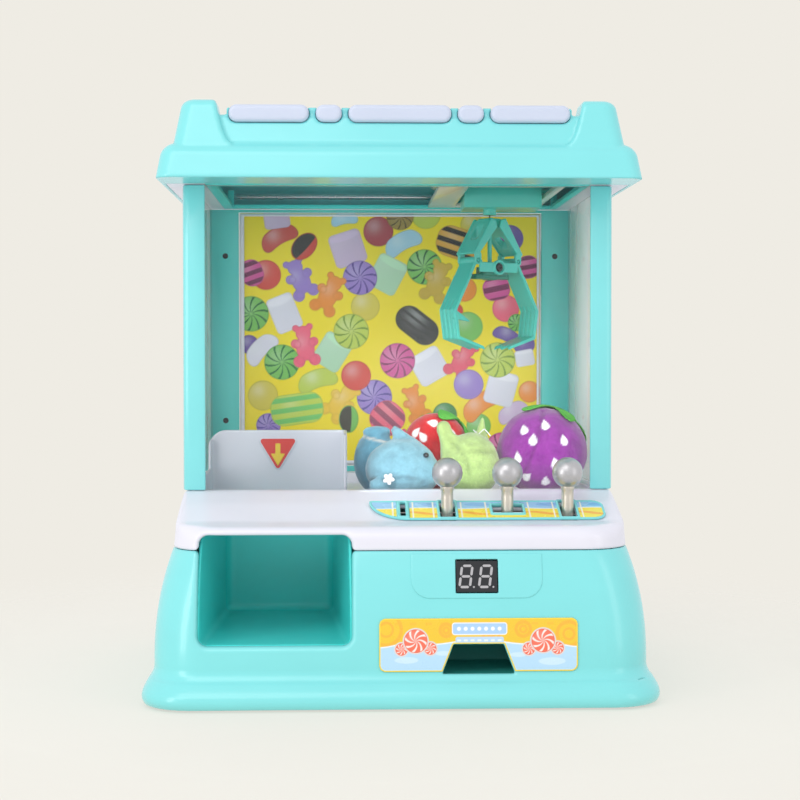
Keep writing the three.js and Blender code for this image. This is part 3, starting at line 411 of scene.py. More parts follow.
def felt(name, colour, deep):
    """Felt: brushed patches of light and deep colour under a soft sheen."""
    made = Finish(name, Sheen_Weight=0.3, Sheen_Roughness=0.45, Specular_IOR_Level=0.2)
    made.shader.inputs["Sheen Tint"].default_value = (*np.minimum(linear(colour) * 1.6 + 0.1, 1), 1)
    brushed = made.noise(7, 4.0, 0.6)
    pile = made.noise(0.9, 5.0, 0.7)
    patch = made.mix(made.ramp(brushed, 0, 1, 0.35, 0.65), tuple(linear(deep)), tuple(linear(colour)))
    tips = tuple(np.minimum(linear(colour) * 1.25 + 0.03, 1))
    made.colour(made.mix(made.ramp(pile, 0, 0.55, 0.42, 0.75), patch, tips))
    made.roughness(made.ramp(pile, 0.75, 1.0))
    made.bump(pile, 0.75, 0.7)
    return made.material


def board_green(name):
    """Circuit board: paler tracks round cells of dark green."""
    made = Finish(name, Coat_Weight=0.3)
    settings = {"Vector": made.place, "Scale": 260.0}
    cells = made.node("ShaderNodeTexVoronoi", settings, feature="DISTANCE_TO_EDGE")
    tracks = made.ramp(cells.outputs[0], 0, 1, 0.02, 0.08)
    made.colour(made.mix(tracks, (0.05, 0.3, 0.12), (0.012, 0.11, 0.045)))
    made.roughness(made.ramp(made.noise(3), 0.3, 0.5))
    made.bump(tracks, 0.3, 0.05)
    return made.material


AQUA = (128, 218, 219)
TEAL = (60, 178, 168)
WHITE = (226, 224, 234)
aqua = plastic("aqua_moulding", AQUA, 0.26, 0.3)
aqua_deep = plastic("aqua_inner_moulding", (72, 222, 217), 0.35, 0.1)
teal = plastic("teal_moulding", TEAL, 0.4, 0.1)
white = plastic("white_moulding", WHITE, 0.3, 0.25)
grey = plastic("grey_moulding", (206, 208, 212), 0.35, 0.15)
black = plastic("black_moulding", (24, 25, 28), 0.35, 0.2)
frosted = plastic("frosted_cover", (200, 207, 224), 0.42, 0.1, 0.3)
claw_plastic = plastic("claw_moulding", (78, 204, 188), 0.3, 0.2)
# Painted shade: the claw hub gets a darker copy of the claw plastic, standing in for the shade under the claw
# frame.
hub_shade_plastic = plastic("claw_hub_shaded_moulding", (20, 128, 108), 0.32, 0.25)
sign_red = plastic("sign_red", (232, 58, 52), 0.35, 0.3)
sign_yellow = plastic("sign_yellow", (250, 210, 60), 0.4, 0.2)
display_black = plastic("display_black", (26, 28, 32), 0.2, 0.2)
segment_grey = plastic("segment_grey", (176, 174, 176), 0.45, 0.0)
teal_frame = plastic("teal_frame_moulding", (100, 218, 212), 0.4, 0.1)
beam = plastic("bridge_beam", (222, 220, 206), 0.22, 0.35)
silver = satin_metal("pearl_silver", (190, 188, 189), 0.36, coat=0.7)
champagne = satin_metal("champagne_silver", (214, 206, 192), 0.34, (1, 1, 0.06))
steel = satin_metal("bright_steel", (190, 193, 198), 0.22, (0.05, 1, 1))
dark_rubber = rubber("foot_rubber", (40, 41, 44))
cord = rubber("dark_cord", (58, 56, 56))
clear = clear_plastic("clear_window", (0.985, 0.995, 0.995))
paper = printed("printed_paper", 0.42)
gloss_print = printed("gloss_print", 0.25)
board = board_green("circuit_board")
felt_green = felt("felt_green", (98, 178, 72), (70, 150, 60))
felt_white = felt("felt_white", (244, 240, 244), (214, 208, 216))


# ------------------------------------------------------------------ printing
class Picture:
    """A grid of coloured points on which flat shapes are laid one over another."""

    def __init__(self, low, high, pitch, colour):
        self.pitch = pitch
        self.u, self.v = np.meshgrid(
            np.linspace(low[0], high[0], int((high[0] - low[0]) / pitch) + 1),
            np.linspace(low[1], high[1], int((high[1] - low[1]) / pitch) + 1),
            indexing="ij",
        )
        self.ink = np.empty((*self.u.shape, 3))
        self.ink[:] = linear(colour)

    def lay(self, distance, colour, soft=1.0, strength=1.0):
        """Covers the points where distance is negative."""
        cover = np.clip(0.5 - distance / (self.pitch * soft), 0, 1)[..., None] * strength
        self.ink = self.ink * (1 - cover) + np.asarray(colour) * cover

    def window(self, u, v, reach):
        """The part of the picture round a point, as a picture whose ink is shared."""
        rows = np.flatnonzero(np.abs(self.u[:, 0] - u) < reach)
        columns = np.flatnonzero(np.abs(self.v[0] - v) < reach)
        if not len(rows) or not len(columns):
            return None
        spot = (slice(rows[0], rows[-1] + 1), slice(columns[0], columns[-1] + 1))
        part = Picture.__new__(Picture)
        part.pitch = self.pitch
        part.u = self.u[spot]
        part.v = self.v[spot]
        part.ink = self.ink[spot]
        part.home = (self, spot)
        return part

    def put_back(self):
        whole, spot = self.home
        whole.ink[spot] = self.ink

    def sheet(self, surface):
        """The picture as a mesh on surface(u, v), which gives points in millimetres."""
        rows, columns = self.u.shape
        points = surface(self.u.ravel(), self.v.ravel())
        number = np.arange(rows * columns).reshape(rows, columns)
        corners = [number[:-1, :-1], number[1:, :-1], number[1:, 1:], number[:-1, 1:]]
        return points, np.stack(corners, -1).reshape(-1, 4)

    def colours(self):
        ink = np.ones((self.u.size, 4), np.float32)
        ink[:, :3] = self.ink.reshape(-1, 3)
        return ink


def print_sheet(name, picture, surface, keep=None):
    """A printed sheet on a surface, with only the quads whose middle is inside keep(u, v)."""
    points, quads = picture.sheet(surface)
    ink = picture.colours()
    if keep is not None:
        u, v = picture.u.ravel(), picture.v.ravel()
        quads = quads[keep(u[quads].mean(1), v[quads].mean(1)) < 0]
        used = np.unique(quads)
        fresh = np.full(len(points), -1)
        fresh[used] = np.arange(len(used))
        points, ink, quads = points[used], ink[used], fresh[quads]
    made = mesh_object(name, points, quads)
    layer = made.data.color_attributes.new("ink", "FLOAT_COLOR", "POINT")
    layer.data.foreach_set("color", ink.ravel())
    return made


def thicken(sheet, thickness):
    """Gives a sheet its thickness, behind its printed face."""
    solid = sheet.modifiers.new("thickness", "SOLIDIFY")
    solid.thickness = thickness * MM
    solid.offset = -1


class Sweet:
    """One printed sweet: shapes in its own axes, turned and placed on the picture."""

    def __init__(self, picture, x, z, size, turn=0.0):
        self.part = picture.window(x, z, size * 1.3)
        if self.part is None:
            return
        angle = math.radians(turn)
        du, dv = self.part.u - x, self.part.v - z
        self.a = du * math.cos(angle) + dv * math.sin(angle)
        self.b = dv * math.cos(angle) - du * math.sin(angle)

    def fill(self, outline, colour, light=0.35, rim=0.7, size=10.0):
        """Solid colour with a darker rim and a soft light towards the upper left."""
        base = linear(colour)
        self.part.lay(outline, base * rim)
        self.part.lay(outline + 0.5, base)
        glow = np.exp(-((self.a + 0.3 * size) ** 2 + (self.b - 0.35 * size) ** 2) / (0.5 * size) ** 2)
        cover = (np.clip(-outline / 1.5, 0, 1) * glow * light)[..., None]
        self.part.ink = self.part.ink * (1 - cover) + cover * np.minimum(base * 0.4 + 0.6, 1)

    def stripes(self, outline, wave, colour):
        """Stripes of another colour where wave is negative, kept inside the outline."""
        self.part.lay(np.maximum(outline + 0.5, wave), linear(colour))

    def done(self):
        self.part.put_back()


def gumball(picture, x, z, radius, colour):
    """A plain round sweet."""
    sweet = Sweet(picture, x, z, radius)
    sweet.fill(np.hypot(sweet.a, sweet.b) - radius, colour, 0.4, 0.72, radius)
    sweet.done()


def mint(picture, x, z, radius, colour, deep):
    """A round mint with curved wedges that widen to the rim."""
    sweet = Sweet(picture, x, z, radius)
    reach = np.hypot(sweet.a, sweet.b)
    outline = reach - radius
    sweet.fill(outline, colour, 0.3, 0.6, radius)
    swirl = np.cos(10 * (np.arctan2(sweet.b, sweet.a) + 0.5 * reach / radius))
    wedge = (0.78 - swirl) * reach * 0.5
    sweet.stripes(outline, np.maximum(wedge - 0.2, 1.2 - reach), deep)
    sweet.done()


def bean(picture, x, z, length, colour, turn=0.0, width=None, bend=0.12):
    """A bent bean, not yet put back, and its outline."""
    sweet = Sweet(picture, x, z, length * 0.62, turn)
    half = (width or length * 0.45) / 2
    straight = length / 2 - half
    rise = sweet.b + bend * length * ((sweet.a / (length / 2)) ** 2 - 0.4)
    outline = np.hypot(np.maximum(np.abs(sweet.a) - straight, 0), rise) - half
    sweet.fill(outline, colour, 0.45, 0.7, half * 1.6)
    return sweet, outline


def gummy_bear(picture, x, z, height, colour, turn):
    """A plain bear-shaped jelly without a face."""
    sweet = Sweet(picture, x, z, height * 0.62, turn)
    a, b = sweet.a / height, sweet.b / height
    outline = either(ellipse(a, b, 0, -0.06, 0.2, 0.26), np.hypot(a, b - 0.27) - 0.165, 0.03)
    for cu, cv, radius in ((0.15, 0.4, 0.075), (0.2, 0.07, 0.1), (0.17, -0.32, 0.13)):
        for side in (-cu, cu):
            outline = either(outline, np.hypot(a - side, b - cv) - radius, 0.03)
    sweet.fill(outline * height, colour, 0.3, 0.74, height * 0.3)
    for cu, cv, radius in ((0.16, 0.05, 0.07), (0.14, -0.31, 0.08)):
        for side in (-cu, cu):
            dimple = np.abs(np.hypot(a - side, b - cv) - radius) * height - 0.35
            sweet.part.lay(dimple, linear(colour) * 0.8, 2.5, 0.7)
    sweet.done()


def marshmallow(picture, x, z, width, height, colour, turn):
    """A soft block with a paler end and a shaded side."""
    sweet = Sweet(picture, x, z, max(width, height) * 0.8, turn)
    outline = rectangle(sweet.a, sweet.b, -width / 2, width / 2, -height / 2, height / 2, width * 0.16)
    sweet.fill(outline, colour, 0.2, 0.82, width)
    base = linear(colour)
    end = ellipse(sweet.a, sweet.b, 0, height * 0.36, width * 0.46, height * 0.12)
    sweet.part.lay(np.maximum(outline + 0.8, end), np.minimum(base * 1.12 + 0.04, 1), 2.0)
    side = np.clip(sweet.a / width + 0.5, 0, 1)[..., None] * 0.16
    cover = np.clip(-outline, 0, 1)[..., None] * side
    sweet.part.ink = sweet.part.ink * (1 - cover) + base * 0.6 * cover
    sweet.done()


def striped(picture, x, z, length, width, colour, band, turn, bands):
    """A rounded block or ball with straight bands of a second colour."""
    sweet = Sweet(picture, x, z, length * 0.62, turn)
    outline = rectangle(sweet.a, sweet.b, -length / 2, length / 2, -width / 2, width / 2, width * 0.42)
    sweet.fill(outline, colour, 0.25, 0.75, width * 0.6)
    period = width / (bands + 0.5)
    wave = (0.05 - np.cos(2 * np.pi * sweet.b / period)) * period / (2 * np.pi)
    sweet.stripes(outline, wave, band)
    sweet.done()


def half_ball(picture, x, z, radius, colour, other, turn):
    """An oval sweet of two colours."""
    sweet = Sweet(picture, x, z, radius * 1.2, turn)
    outline = ellipse(sweet.a, sweet.b, 0, 0, radius * 1.2, radius * 0.85)
    sweet.fill(outline, colour, 0.3, 0.7, radius)
    sweet.stripes(outline, -0.25 * radius - sweet.b + 0.06 * sweet.a**2 / radius, other)
    sweet.done()


RED, ORANGE, PINK, MAGENTA = (222, 72, 58), (246, 146, 44), (248, 104, 132), (222, 84, 158)
PURPLE, VIOLET, LILAC, CREAM = (158, 128, 206), (112, 84, 166), (216, 190, 222), (232, 228, 242)
MINT_GREEN, GREEN, DEEP_GREEN, LIME = (186, 226, 190), (124, 196, 92), (60, 140, 72), (196, 212, 84)
OLIVE, GOLD, SKY, INK = (222, 202, 74), (246, 200, 54), (172, 214, 236), (46, 43, 42)
CARD_YELLOW = (252, 226, 26)

# Places on the card in millimetres, sizes in millimetres, turns in degrees.
GUMBALLS = (  # x, z, radius, colour
    (-9, 300, 11, (176, 62, 74)), (-91.5, 268, 11, RED), (-18.6, 245, 10.5, OLIVE),
    (-104, 217, 7, VIOLET), (-94, 179.5, 11, OLIVE), (60, 305, 8.5, OLIVE), (88, 295, 10, VIOLET),
    (54.5, 257.5, 9, ORANGE), (47, 241.5, 6.5, RED), (26, 313, 11, LIME), (98.5, 217, 8, VIOLET),
    (102.5, 182, 8, ORANGE), (40, 165, 9, DEEP_GREEN), (65, 157, 9, GREEN), (85, 243.5, 10, PINK),
    (-53, 140, 11, RED), (30, 137, 10, PURPLE), (100, 150, 10, GOLD),
)
BEANS = (  # x, z, length, turn, colour
    (-82, 295.5, 29, 30, (208, 76, 66)), (-95, 213.5, 28, 45, CREAM), (-54, 190.5, 30, 18, LIME),
    (9, 291.5, 29, 28, SKY), (86, 223, 22, -28, VIOLET), (66, 172, 30, 38, ORANGE),
    (90, 167, 24, 30, LILAC), (-34, 309, 20, 10, SKY), (-96, 138, 27, -20, SKY), (60, 136, 26, 30, RED),
)
MARSHMALLOWS = (  # x, z, width, height, turn, colour
    (-31.5, 287.5, 24, 25, 18, LILAC), (-83.5, 309, 19, 14, 8, LILAC),
    (-2.5, 268.5, 23, 26, -28, MINT_GREEN), (-78, 240, 20, 27, 22, CREAM),
    (-43, 211.5, 22, 25, -32, MINT_GREEN), (28.5, 201, 24, 24, 30, CREAM),
    (81.5, 184.5, 22, 25, -15, CREAM), (99, 207, 14, 12, 10, CREAM), (-10, 140, 22, 24, 25, LILAC),
)
MINTS = (  # x, z, radius, colour, deep
    (-22.5, 266, 12.6, PURPLE, (92, 66, 150)), (-29, 226.5, 13, LIME, (128, 160, 50)),
    (-102.5, 239.5, 13, GREEN, (38, 112, 58)), (-80, 204, 13, GREEN, (44, 120, 62)),
    (-12, 178, 13, PURPLE, (92, 70, 158)), (-90, 157.5, 9, PURPLE, (92, 70, 158)),
    (5, 205, 13, MAGENTA, (140, 44, 96)), (25, 274, 13, GREEN, (30, 96, 50)),
    (79, 205.5, 13, LIME, (128, 160, 50)), (7, 311, 10, (168, 140, 70), (96, 76, 40)),
    (93, 233, 6.5, GREEN, (30, 96, 50)), (82, 140, 12, MAGENTA, (140, 44, 96)),
)
BEARS = (  # x, z, height, turn, colour
    (-66.5, 265, 34, 24, PURPLE), (-45.5, 253.5, 34, -26, ORANGE), (-63, 216, 34, 8, PINK),
    (-37, 174.5, 34, -40, GOLD), (34, 263, 34, -18, (214, 178, 60)), (52.5, 205, 32, -30, (238, 84, 110)),
    (18.5, 173, 30, 20, ORANGE), (-72, 136, 26, 30, GREEN), (8, 143, 24, -30, PINK),
)
STRIPED = (  # x, z, length, width, colour, band, turn, bands
    (-102, 269.5, 17, 20, MAGENTA, (120, 40, 84), 20, 2.5),
    (101.5, 274, 16, 17, MAGENTA, (120, 40, 84), 10, 2.0),
    (-69, 169.5, 39, 23, (200, 218, 84), (122, 204, 110), 8, 2.5),
    (-2.5, 162.5, 25, 25, PINK, (160, 74, 104), -42, 2.5),
    (49, 291.5, 31, 23, (226, 170, 62), (34, 30, 34), -18, 2.5),
    (78, 258, 20, 17, MAGENTA, (130, 42, 90), 12, 1.5),
)


def candy_card_picture(low, high):
    """The card's sweets, kind by kind, on a yellow ground."""
    page = Picture(low, high, 0.5, CARD_YELLOW)
    for x, z, radius, colour in GUMBALLS:
        gumball(page, x, z, radius, colour)
    for x, z, length, turn, colour in BEANS:
        bean(page, x, z, length, colour, turn)[0].done()
    for x, z, width, height, turn, colour in MARSHMALLOWS:
        marshmallow(page, x, z, width, height, colour, turn)
    for x, z, radius, colour, deep in MINTS:
        mint(page, x, z, radius, colour, deep)
    for x, z, height, turn, colour in BEARS:
        gummy_bear(page, x, z, height, colour, turn)
    gumball(page, -25.5, 194, 11, RED)
    gumball(page, 57, 230, 11, GREEN)
    gumball(page, 57.5, 187.5, 11, PURPLE)
    half_ball(page, -63.5, 289, 9.5, (214, 66, 52), INK, 48)
    half_ball(page, -31, 162, 8.5, GREEN, (66, 62, 48), 88)
    for x, z, length, width, colour, band, turn, bands in STRIPED:
        striped(page, x, z, length, width, colour, band, turn, bands)
    sweet, outline = bean(page, 19.5, 231, 35, INK, -38, 20, 0.0)
    sweet.stripes(outline, np.cos(sweet.b * 1.1) * 0.5 + 0.2, (62, 58, 56))
    sweet.done()
    return page


def dress(node, material, bevel):
    """Keeps a CAD piece as it is, with edges softened by bevel millimetres and a material."""
    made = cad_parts[node]
    made.data.materials.clear()
    made.data.materials.append(material)
    weld = made.modifiers.new("weld", "WELD")
    weld.merge_threshold = 0.00001
    edge = made.modifiers.new("edges", "BEVEL")
    edge.width = bevel * MM
    edge.segments = 2
    edge.limit_method = "ANGLE"
    edge.angle_limit = math.radians(35)
    edge.harden_normals = False
    made.data.polygons.foreach_set("use_smooth", [True] * len(made.data.polygons))
    made.data.set_sharp_from_angle(angle=math.radians(38))


DRESSED = (  # material, bevel, pieces
    (aqua, 0.9, ("front_post_left", "front_post_right")),
    (clear, 0.25, ("front_window", "side_window_left", "side_window_right")),
    (teal_frame, 0.5, ("rear_frame",)),
    (aqua_deep, 0.3, ("ceiling_frame",)),
    (white, 0.5, ("rear_door",)),
    (white, 0.4, ("bin_floor",)),
    (white, 0.3, ("roof_tray",)),
    (white, 0.2, ("hoist_spool",)),
    (grey, 0.5, ("base_plate", "joystick_bracket")),
    (grey, 0.3, ("coin_channel",)),
    (teal, 0.4, ("coin_cup",)),
    (beam, 0.4, ("bridge_frame",)),
    (claw_plastic, 0.4, ("carriage",)),
    (black, 0.4, ("hoist_motor",)),
    (steel, 0.4, ("bridge_motor",)),
    (steel, 0.3, ("door_hinge_pin",)),
    (steel, 0.2, ("gantry_rail_front", "gantry_rail_rear")),
    (board, 0.2, ("main_board",)),
)


def screw_heads(name, places, toward, radius, body, slot, material):
    """Cross-head screws whose heads look along toward (+1 or -1 on Y)."""
    steps = 24
    rings = [(radius, 0.0), (radius, 0.35), (radius * 0.86, 0.8), (radius * 0.5, 1.05)]
    angle = np.arange(steps) * 2 * np.pi / steps
    points, faces = [], []
    for x, y, z in places:
        start = len(points)
        for ring_radius, height in rings:
            points += [(x + ring_radius * np.cos(a), y + toward * height, z + ring_radius * np.sin(a))
                       for a in angle]
        cross = radius * 0.46
        for i, a in enumerate(angle):
            deep = (i % (steps // 4)) in (0, 1, steps // 4 - 1)
            height = 0.15 if deep else 1.02
            points.append((x + cross * np.cos(a), y + toward * height, z + cross * np.sin(a)))
        points.append((x, y + toward * 0.1, z))
        for row in range(len(rings) + 1):
            for i in range(steps):
                a, b = start + row * steps + i, start + row * steps + (i + 1) % steps
                last = row == len(rings)
                face = (a, b, len(points) - 1) if last else (a, b, b + steps, a + steps)
                faces.append(face if toward < 0 else face[::-1])
    made = mesh_object(name, points, faces)
    made.data.set_sharp_from_angle(angle=math.radians(40))
    return settle_in(made, body, slot, material)


# ------------------------------------------------------------------ base
base_low, base_high = span("base_shell")
SIDE_FLARE, FRONT_FLARE, REAR_FLARE = 6.6, 9.5, 6.0
BODY_HALF = base_high[0] - SIDE_FLARE
BODY_FRONT = base_low[1] + FRONT_FLARE
BODY_REAR = base_high[1] - REAR_FLARE
BODY_CORNER = 30
PLINTH_WIDEST, COVE_TOP, TAPER_START = 6, 24, 25
TOP_INSET = 10.8
PLINTH_STEP = 15.7  # height of the fine line round the plinth
OUTLET = {"left": -121, "right": -30, "bottom": 37.2, "top": 101.5}
SLEEVE = 7  # how far the outlet's lip is turned in


def base_inset(z):
    """How far the base leans in at height z."""
    share = np.clip((z - TAPER_START) / (base_high[2] - TAPER_START), 0, 1.2)
    return TOP_INSET * share**2.2


def flare_share(z):
    """Share of the plinth's full flare: round at the foot, then a soft cove with one fine step."""
    foot = 1 - 0.24 * (np.clip(PLINTH_WIDEST - z, 0, None) / (PLINTH_WIDEST - base_low[2])) ** 2
    cove = 0.5 * (1 + np.cos(np.pi * np.clip((z - PLINTH_WIDEST) / (COVE_TOP - PLINTH_WIDEST), 0, 1)))
    step = 0.075 * ease((z - PLINTH_STEP) / 1.2) * ease((COVE_TOP + 1 - z) / 8)
    return np.where(z < PLINTH_WIDEST, foot, cove - step)


def base_front(z):
    """Where the middle of the front face is at height z."""
    return BODY_FRONT - FRONT_FLARE * flare_share(z) + base_inset(z)


def base_outline(x, y, z):
    """The base's outer form, without its top and bottom."""
    share, inset = flare_share(z), base_inset(z)
    half = BODY_HALF + SIDE_FLARE * share - inset
    return rectangle(x, y, -half, half, base_front(z), BODY_REAR + REAR_FLARE * share, BODY_CORNER)


def outlet_hole(x, y, z):
    """The prize outlet, through the front only."""
    return np.maximum(rectangle(x, z, *OUTLET.values(), 6), y + 60)


COIN_MIDDLE = 44.7
COIN_MOUTH = [(COIN_MIDDLE + across, z) for across, z in ((-21, 21), (21, 21), (14.5, 37.6), (-14.5, 37.6))]
BATTERY = {"left": 20, "right": 110, "bottom": 25, "top": 75}
SWITCH_SLOT = (-70, -51, 41.5, 46.5)
DISPLAY_HOLE = (31.2, 56.8, 67.6, 87.4)
VISOR = (5, 83, 64.8, 120)
FRONT_END, REAR_START = -100, 110  # the front wall lies before the first, the rear wall behind the second


def base_field(x, y, z):
    """Hollow base with its outlet lip, coin mouth, display window, battery and switch holes."""
    body = base_outline(x, y, z)
    hole = outlet_hole(x, y, z)
    lip = np.maximum(np.maximum(body, -(body + SLEEVE)), hole - MOULD_WALL)
    shell = np.minimum(np.maximum(body, -(body + MOULD_WALL)), lip)
    shell = both(shell, slab(z, base_low[2], base_high[2]), 0.9)
    shell = cut(shell, hole, 3.0)
    front, rear = y - FRONT_END, REAR_START - y
    shell = cut(shell, np.maximum(polygon(x, z, COIN_MOUTH, 0.4), front), 1.0)
    shell = cut(shell, np.maximum(rectangle(x, z, *DISPLAY_HOLE, 0.8), front), 0.4)
    shell = cut(shell, np.maximum(rectangle(x, z, *BATTERY.values(), 1.5), rear), 0.6)
    return cut(shell, np.maximum(rectangle(x, z, *SWITCH_SLOT, 1), rear), 0.6)


TRAY_FRONT, TRAY_BACK, TRAY_TOP, TRAY_WALL = -132, 18.5, 100, 2


def tray_field(x, y, z):
    """Catch tray: side walls draw in to the back wall, with soft inner corners."""
    depth = np.clip((y - TRAY_FRONT) / (TRAY_BACK - TRAY_FRONT), 0, 1)
    left = OUTLET["left"] + 7.5 * depth
    right = OUTLET["right"] - 12 * depth
    inside = rectangle(x, y, left, right, -200, TRAY_BACK, 5)
    inside = both(inside, OUTLET["bottom"] - z, 4)
    outside = rectangle(x, y, left - TRAY_WALL, right + TRAY_WALL, -200, TRAY_BACK + TRAY_WALL, 6)
    walls = cut(np.maximum(outside, slab(z, OUTLET["bottom"] - TRAY_WALL, TRAY_TOP)), inside, 0.7)
    return np.maximum(walls, base_outline(x, y, z) + SLEEVE + 0.15)


def build_base():
    """Base, catch tray, display panel, feet, battery door, switch, display and label."""
    stand_in("base_shell", "base_body", base_field, 1.3, "cabinet", "aqua_plastic", aqua)
    stand_in("outlet_tray", "outlet_tray_lining", tray_field, 1.5, "cabinet", "teal_plastic", aqua_deep)
    visor_low, visor_high = (4, base_front(64), 64), (84, base_front(91) + 4, 91)
    visor = moulded("display_visor", visor_field, visor_low, visor_high, 0.55)
    settle_in(visor, "cabinet", "aqua_plastic", aqua)
    for corner in ("front_left", "front_right", "rear_left", "rear_right"):
        low, high = span("foot_" + corner)
        radius = (high[0] - low[0]) / 2
        top = high[2]
        profile = [(0, 0), (radius - 1.2, 0), (radius - 0.4, 0.15), (radius, 0.6), (radius, top), (0, top)]
        middle = (low + high) / 2
        pad = turned("foot_pad_" + corner, profile, (middle[0], middle[1], 0))
        settle_in(pad, "cabinet", "foot_rubber", dark_rubber, "foot_" + corner)
    build_battery_door()
    build_switch()
    build_display()
    build_label()


def visor_field(x, y, z):
    """Slightly raised panel round the display, square above and round below."""
    body = base_outline(x, y, z) * 0.97
    shape = rectangle(x, z, *VISOR, 11)
    shape = np.maximum(shape, z - (base_high[2] - 1.6))
    panel = both(np.maximum(body - 0.55, -(body + 1.2)), shape, 0.5)
    window = rectangle(x, z, 31.3, 56.7, 67.7, 87.3, 0.6)
    return cut(panel, window, 0.35)


def build_battery_door():
    """Door with a thumb arch, grip ribs and a latch."""
    low, high = span("battery_door")
    face = BODY_REAR

    def field(x, y, z):
        panel = block(x, y, z, low, (high[0], face, high[2]), 0.7)
        ribs = np.abs((z - 34) % 5 - 2.5) - 0.8
        ribs = np.maximum(ribs, slab(z, 29, 51))
        ribs = np.maximum(ribs, slab(x, 42, 88))
        raised = np.maximum(ribs, slab(y, face - 1, face + 0.7))
        latch = block(x, y, z, (56, face - 1, high[2] - 6.5), (74, high[1], high[2] - 2.6), 0.6)
        thumb = np.hypot(np.hypot(x - 65, z - (high[2] - 12)), (y - face - 5) * 1.2) - 7.4
        return cut(either(either(panel, raised, 0.4), latch, 0.4), thumb, 0.5)

    stand_in("battery_door", "battery_door_panel", field, 0.8, "battery_door", "aqua_plastic", aqua)


def build_switch():
    """Slide switch: a ribbed cap on a stem."""
    low, high = span("power_switch")

    def field(x, y, z):
        cap = block(x, y, z, (low[0], high[1] - 2.4, low[2]), high, 0.6)
        stem = block(x, y, z, low + (1, 0, 2.2), high - (1, 1, 2.2), 0.4)
        ribs = np.maximum(np.abs((x - low[0]) % 2 - 1) - 0.35, high[1] - 0.45 - y)
        return cut(either(cap, stem, 0.3), np.maximum(ribs, slab(z, low[2] + 0.8, high[2] - 0.8)), 0.15)

    stand_in("power_switch", "power_switch_cap", field, 0.35, "power_switch", "black_plastic", black)


# ---------------------------------------------------------------- display and label
def display_place():
    """The display's own axes: X across, Z up the leaning face, Y into the base."""
    low, high = span("led_display")
    z = 77.5
    lean = math.atan((base_front(z + 1) - base_front(z - 1)) / 2)
    spot = Matrix.Translation(Vector(((low[0] + high[0]) / 2, base_front(z), z)) * MM)
    return spot @ Matrix.Rotation(-lean, 4, "X")


def bar(points, faces, start, end, half, thick, y):
    """A segment of a digit: a flat bar with pointed ends, from start to end."""
    start, end = np.array(start, float), np.array(end, float)
    along = (end - start) / np.linalg.norm(end - start)
    side = np.array((-along[1], along[0])) * half
    outline = [start, start + along * half + side, end - along * half + side,
               end, end - along * half - side, start + along * half - side]
    first = len(points)
    points += [(p[0], y, p[1]) for p in outline] + [(p[0], y - thick, p[1]) for p in outline]
    faces.append([first + i for i in range(6)])
    faces.append([first + 11 - i for i in range(6)])
    faces += [(first + i, first + (i + 1) % 6, first + 6 + (i + 1) % 6, first + 6 + i) for i in range(6)]


DIGIT_WIDTH, DIGIT_HALF, DIGIT_SLANT = 6.2, 6.3, 0.14
DIGIT_CENTRES = (-6.4, 5.2)
BAR_HALF, BAR_GAP, BAR_THICK, BAR_FRONT = 0.72, 0.42, 0.12, 0.38
DIGIT_BARS = [((-1, row), (1, row)) for row in (1, 0, -1)]
DIGIT_BARS += [((side, row), (side, row + 1)) for row in (0, -1) for side in (-1, 1)]


def digit_spot(centre, u, v):
    """A point of a slanted digit: u and v run from -1 to 1 over its width and height."""
    across = centre + u * DIGIT_WIDTH / 2 + DIGIT_SLANT * v * DIGIT_HALF
    return np.array((across, v * DIGIT_HALF))


def build_display():
    """A dark window with two unlit seven-bar digits and their dots."""
    place = display_place()

    def glass(x, y, z):
        return block(x, y, z, (-12.5, 0.4, -9.5), (12.5, 6.5, 9.5), 0.5)

    window = moulded("display_window", glass, (-13, 0, -10), (13, 7, 10), 0.55, place)
    settle_in(window, "cabinet", "black_plastic", display_black, "led_display")
    points, faces = [], []
    for centre in DIGIT_CENTRES:
        for start, end in DIGIT_BARS:
            a, b = digit_spot(centre, *start), digit_spot(centre, *end)
            inset = (b - a) / np.linalg.norm(b - a) * BAR_GAP
            bar(points, faces, a + inset, b - inset, BAR_HALF, BAR_THICK, BAR_FRONT)
        dot = digit_spot(centre, 1.75, -1)
        bar(points, faces, dot - (0.7, 0), dot + (0.7, 0), 0.62, BAR_THICK, BAR_FRONT)
    digits = mesh_object("display_digits", points, faces, place, smooth=False)
    settle_in(digits, "cabinet", "printed_label", segment_grey)


TITLE_PLATE, SMALL_PLATE = (29.4, 61, 44.2, 50.4), (31, 59.4, 38.4, 42.6)
LABEL_SWEETS = (7.5, 82.7)  # middles of the two groups of pinwheel sweets


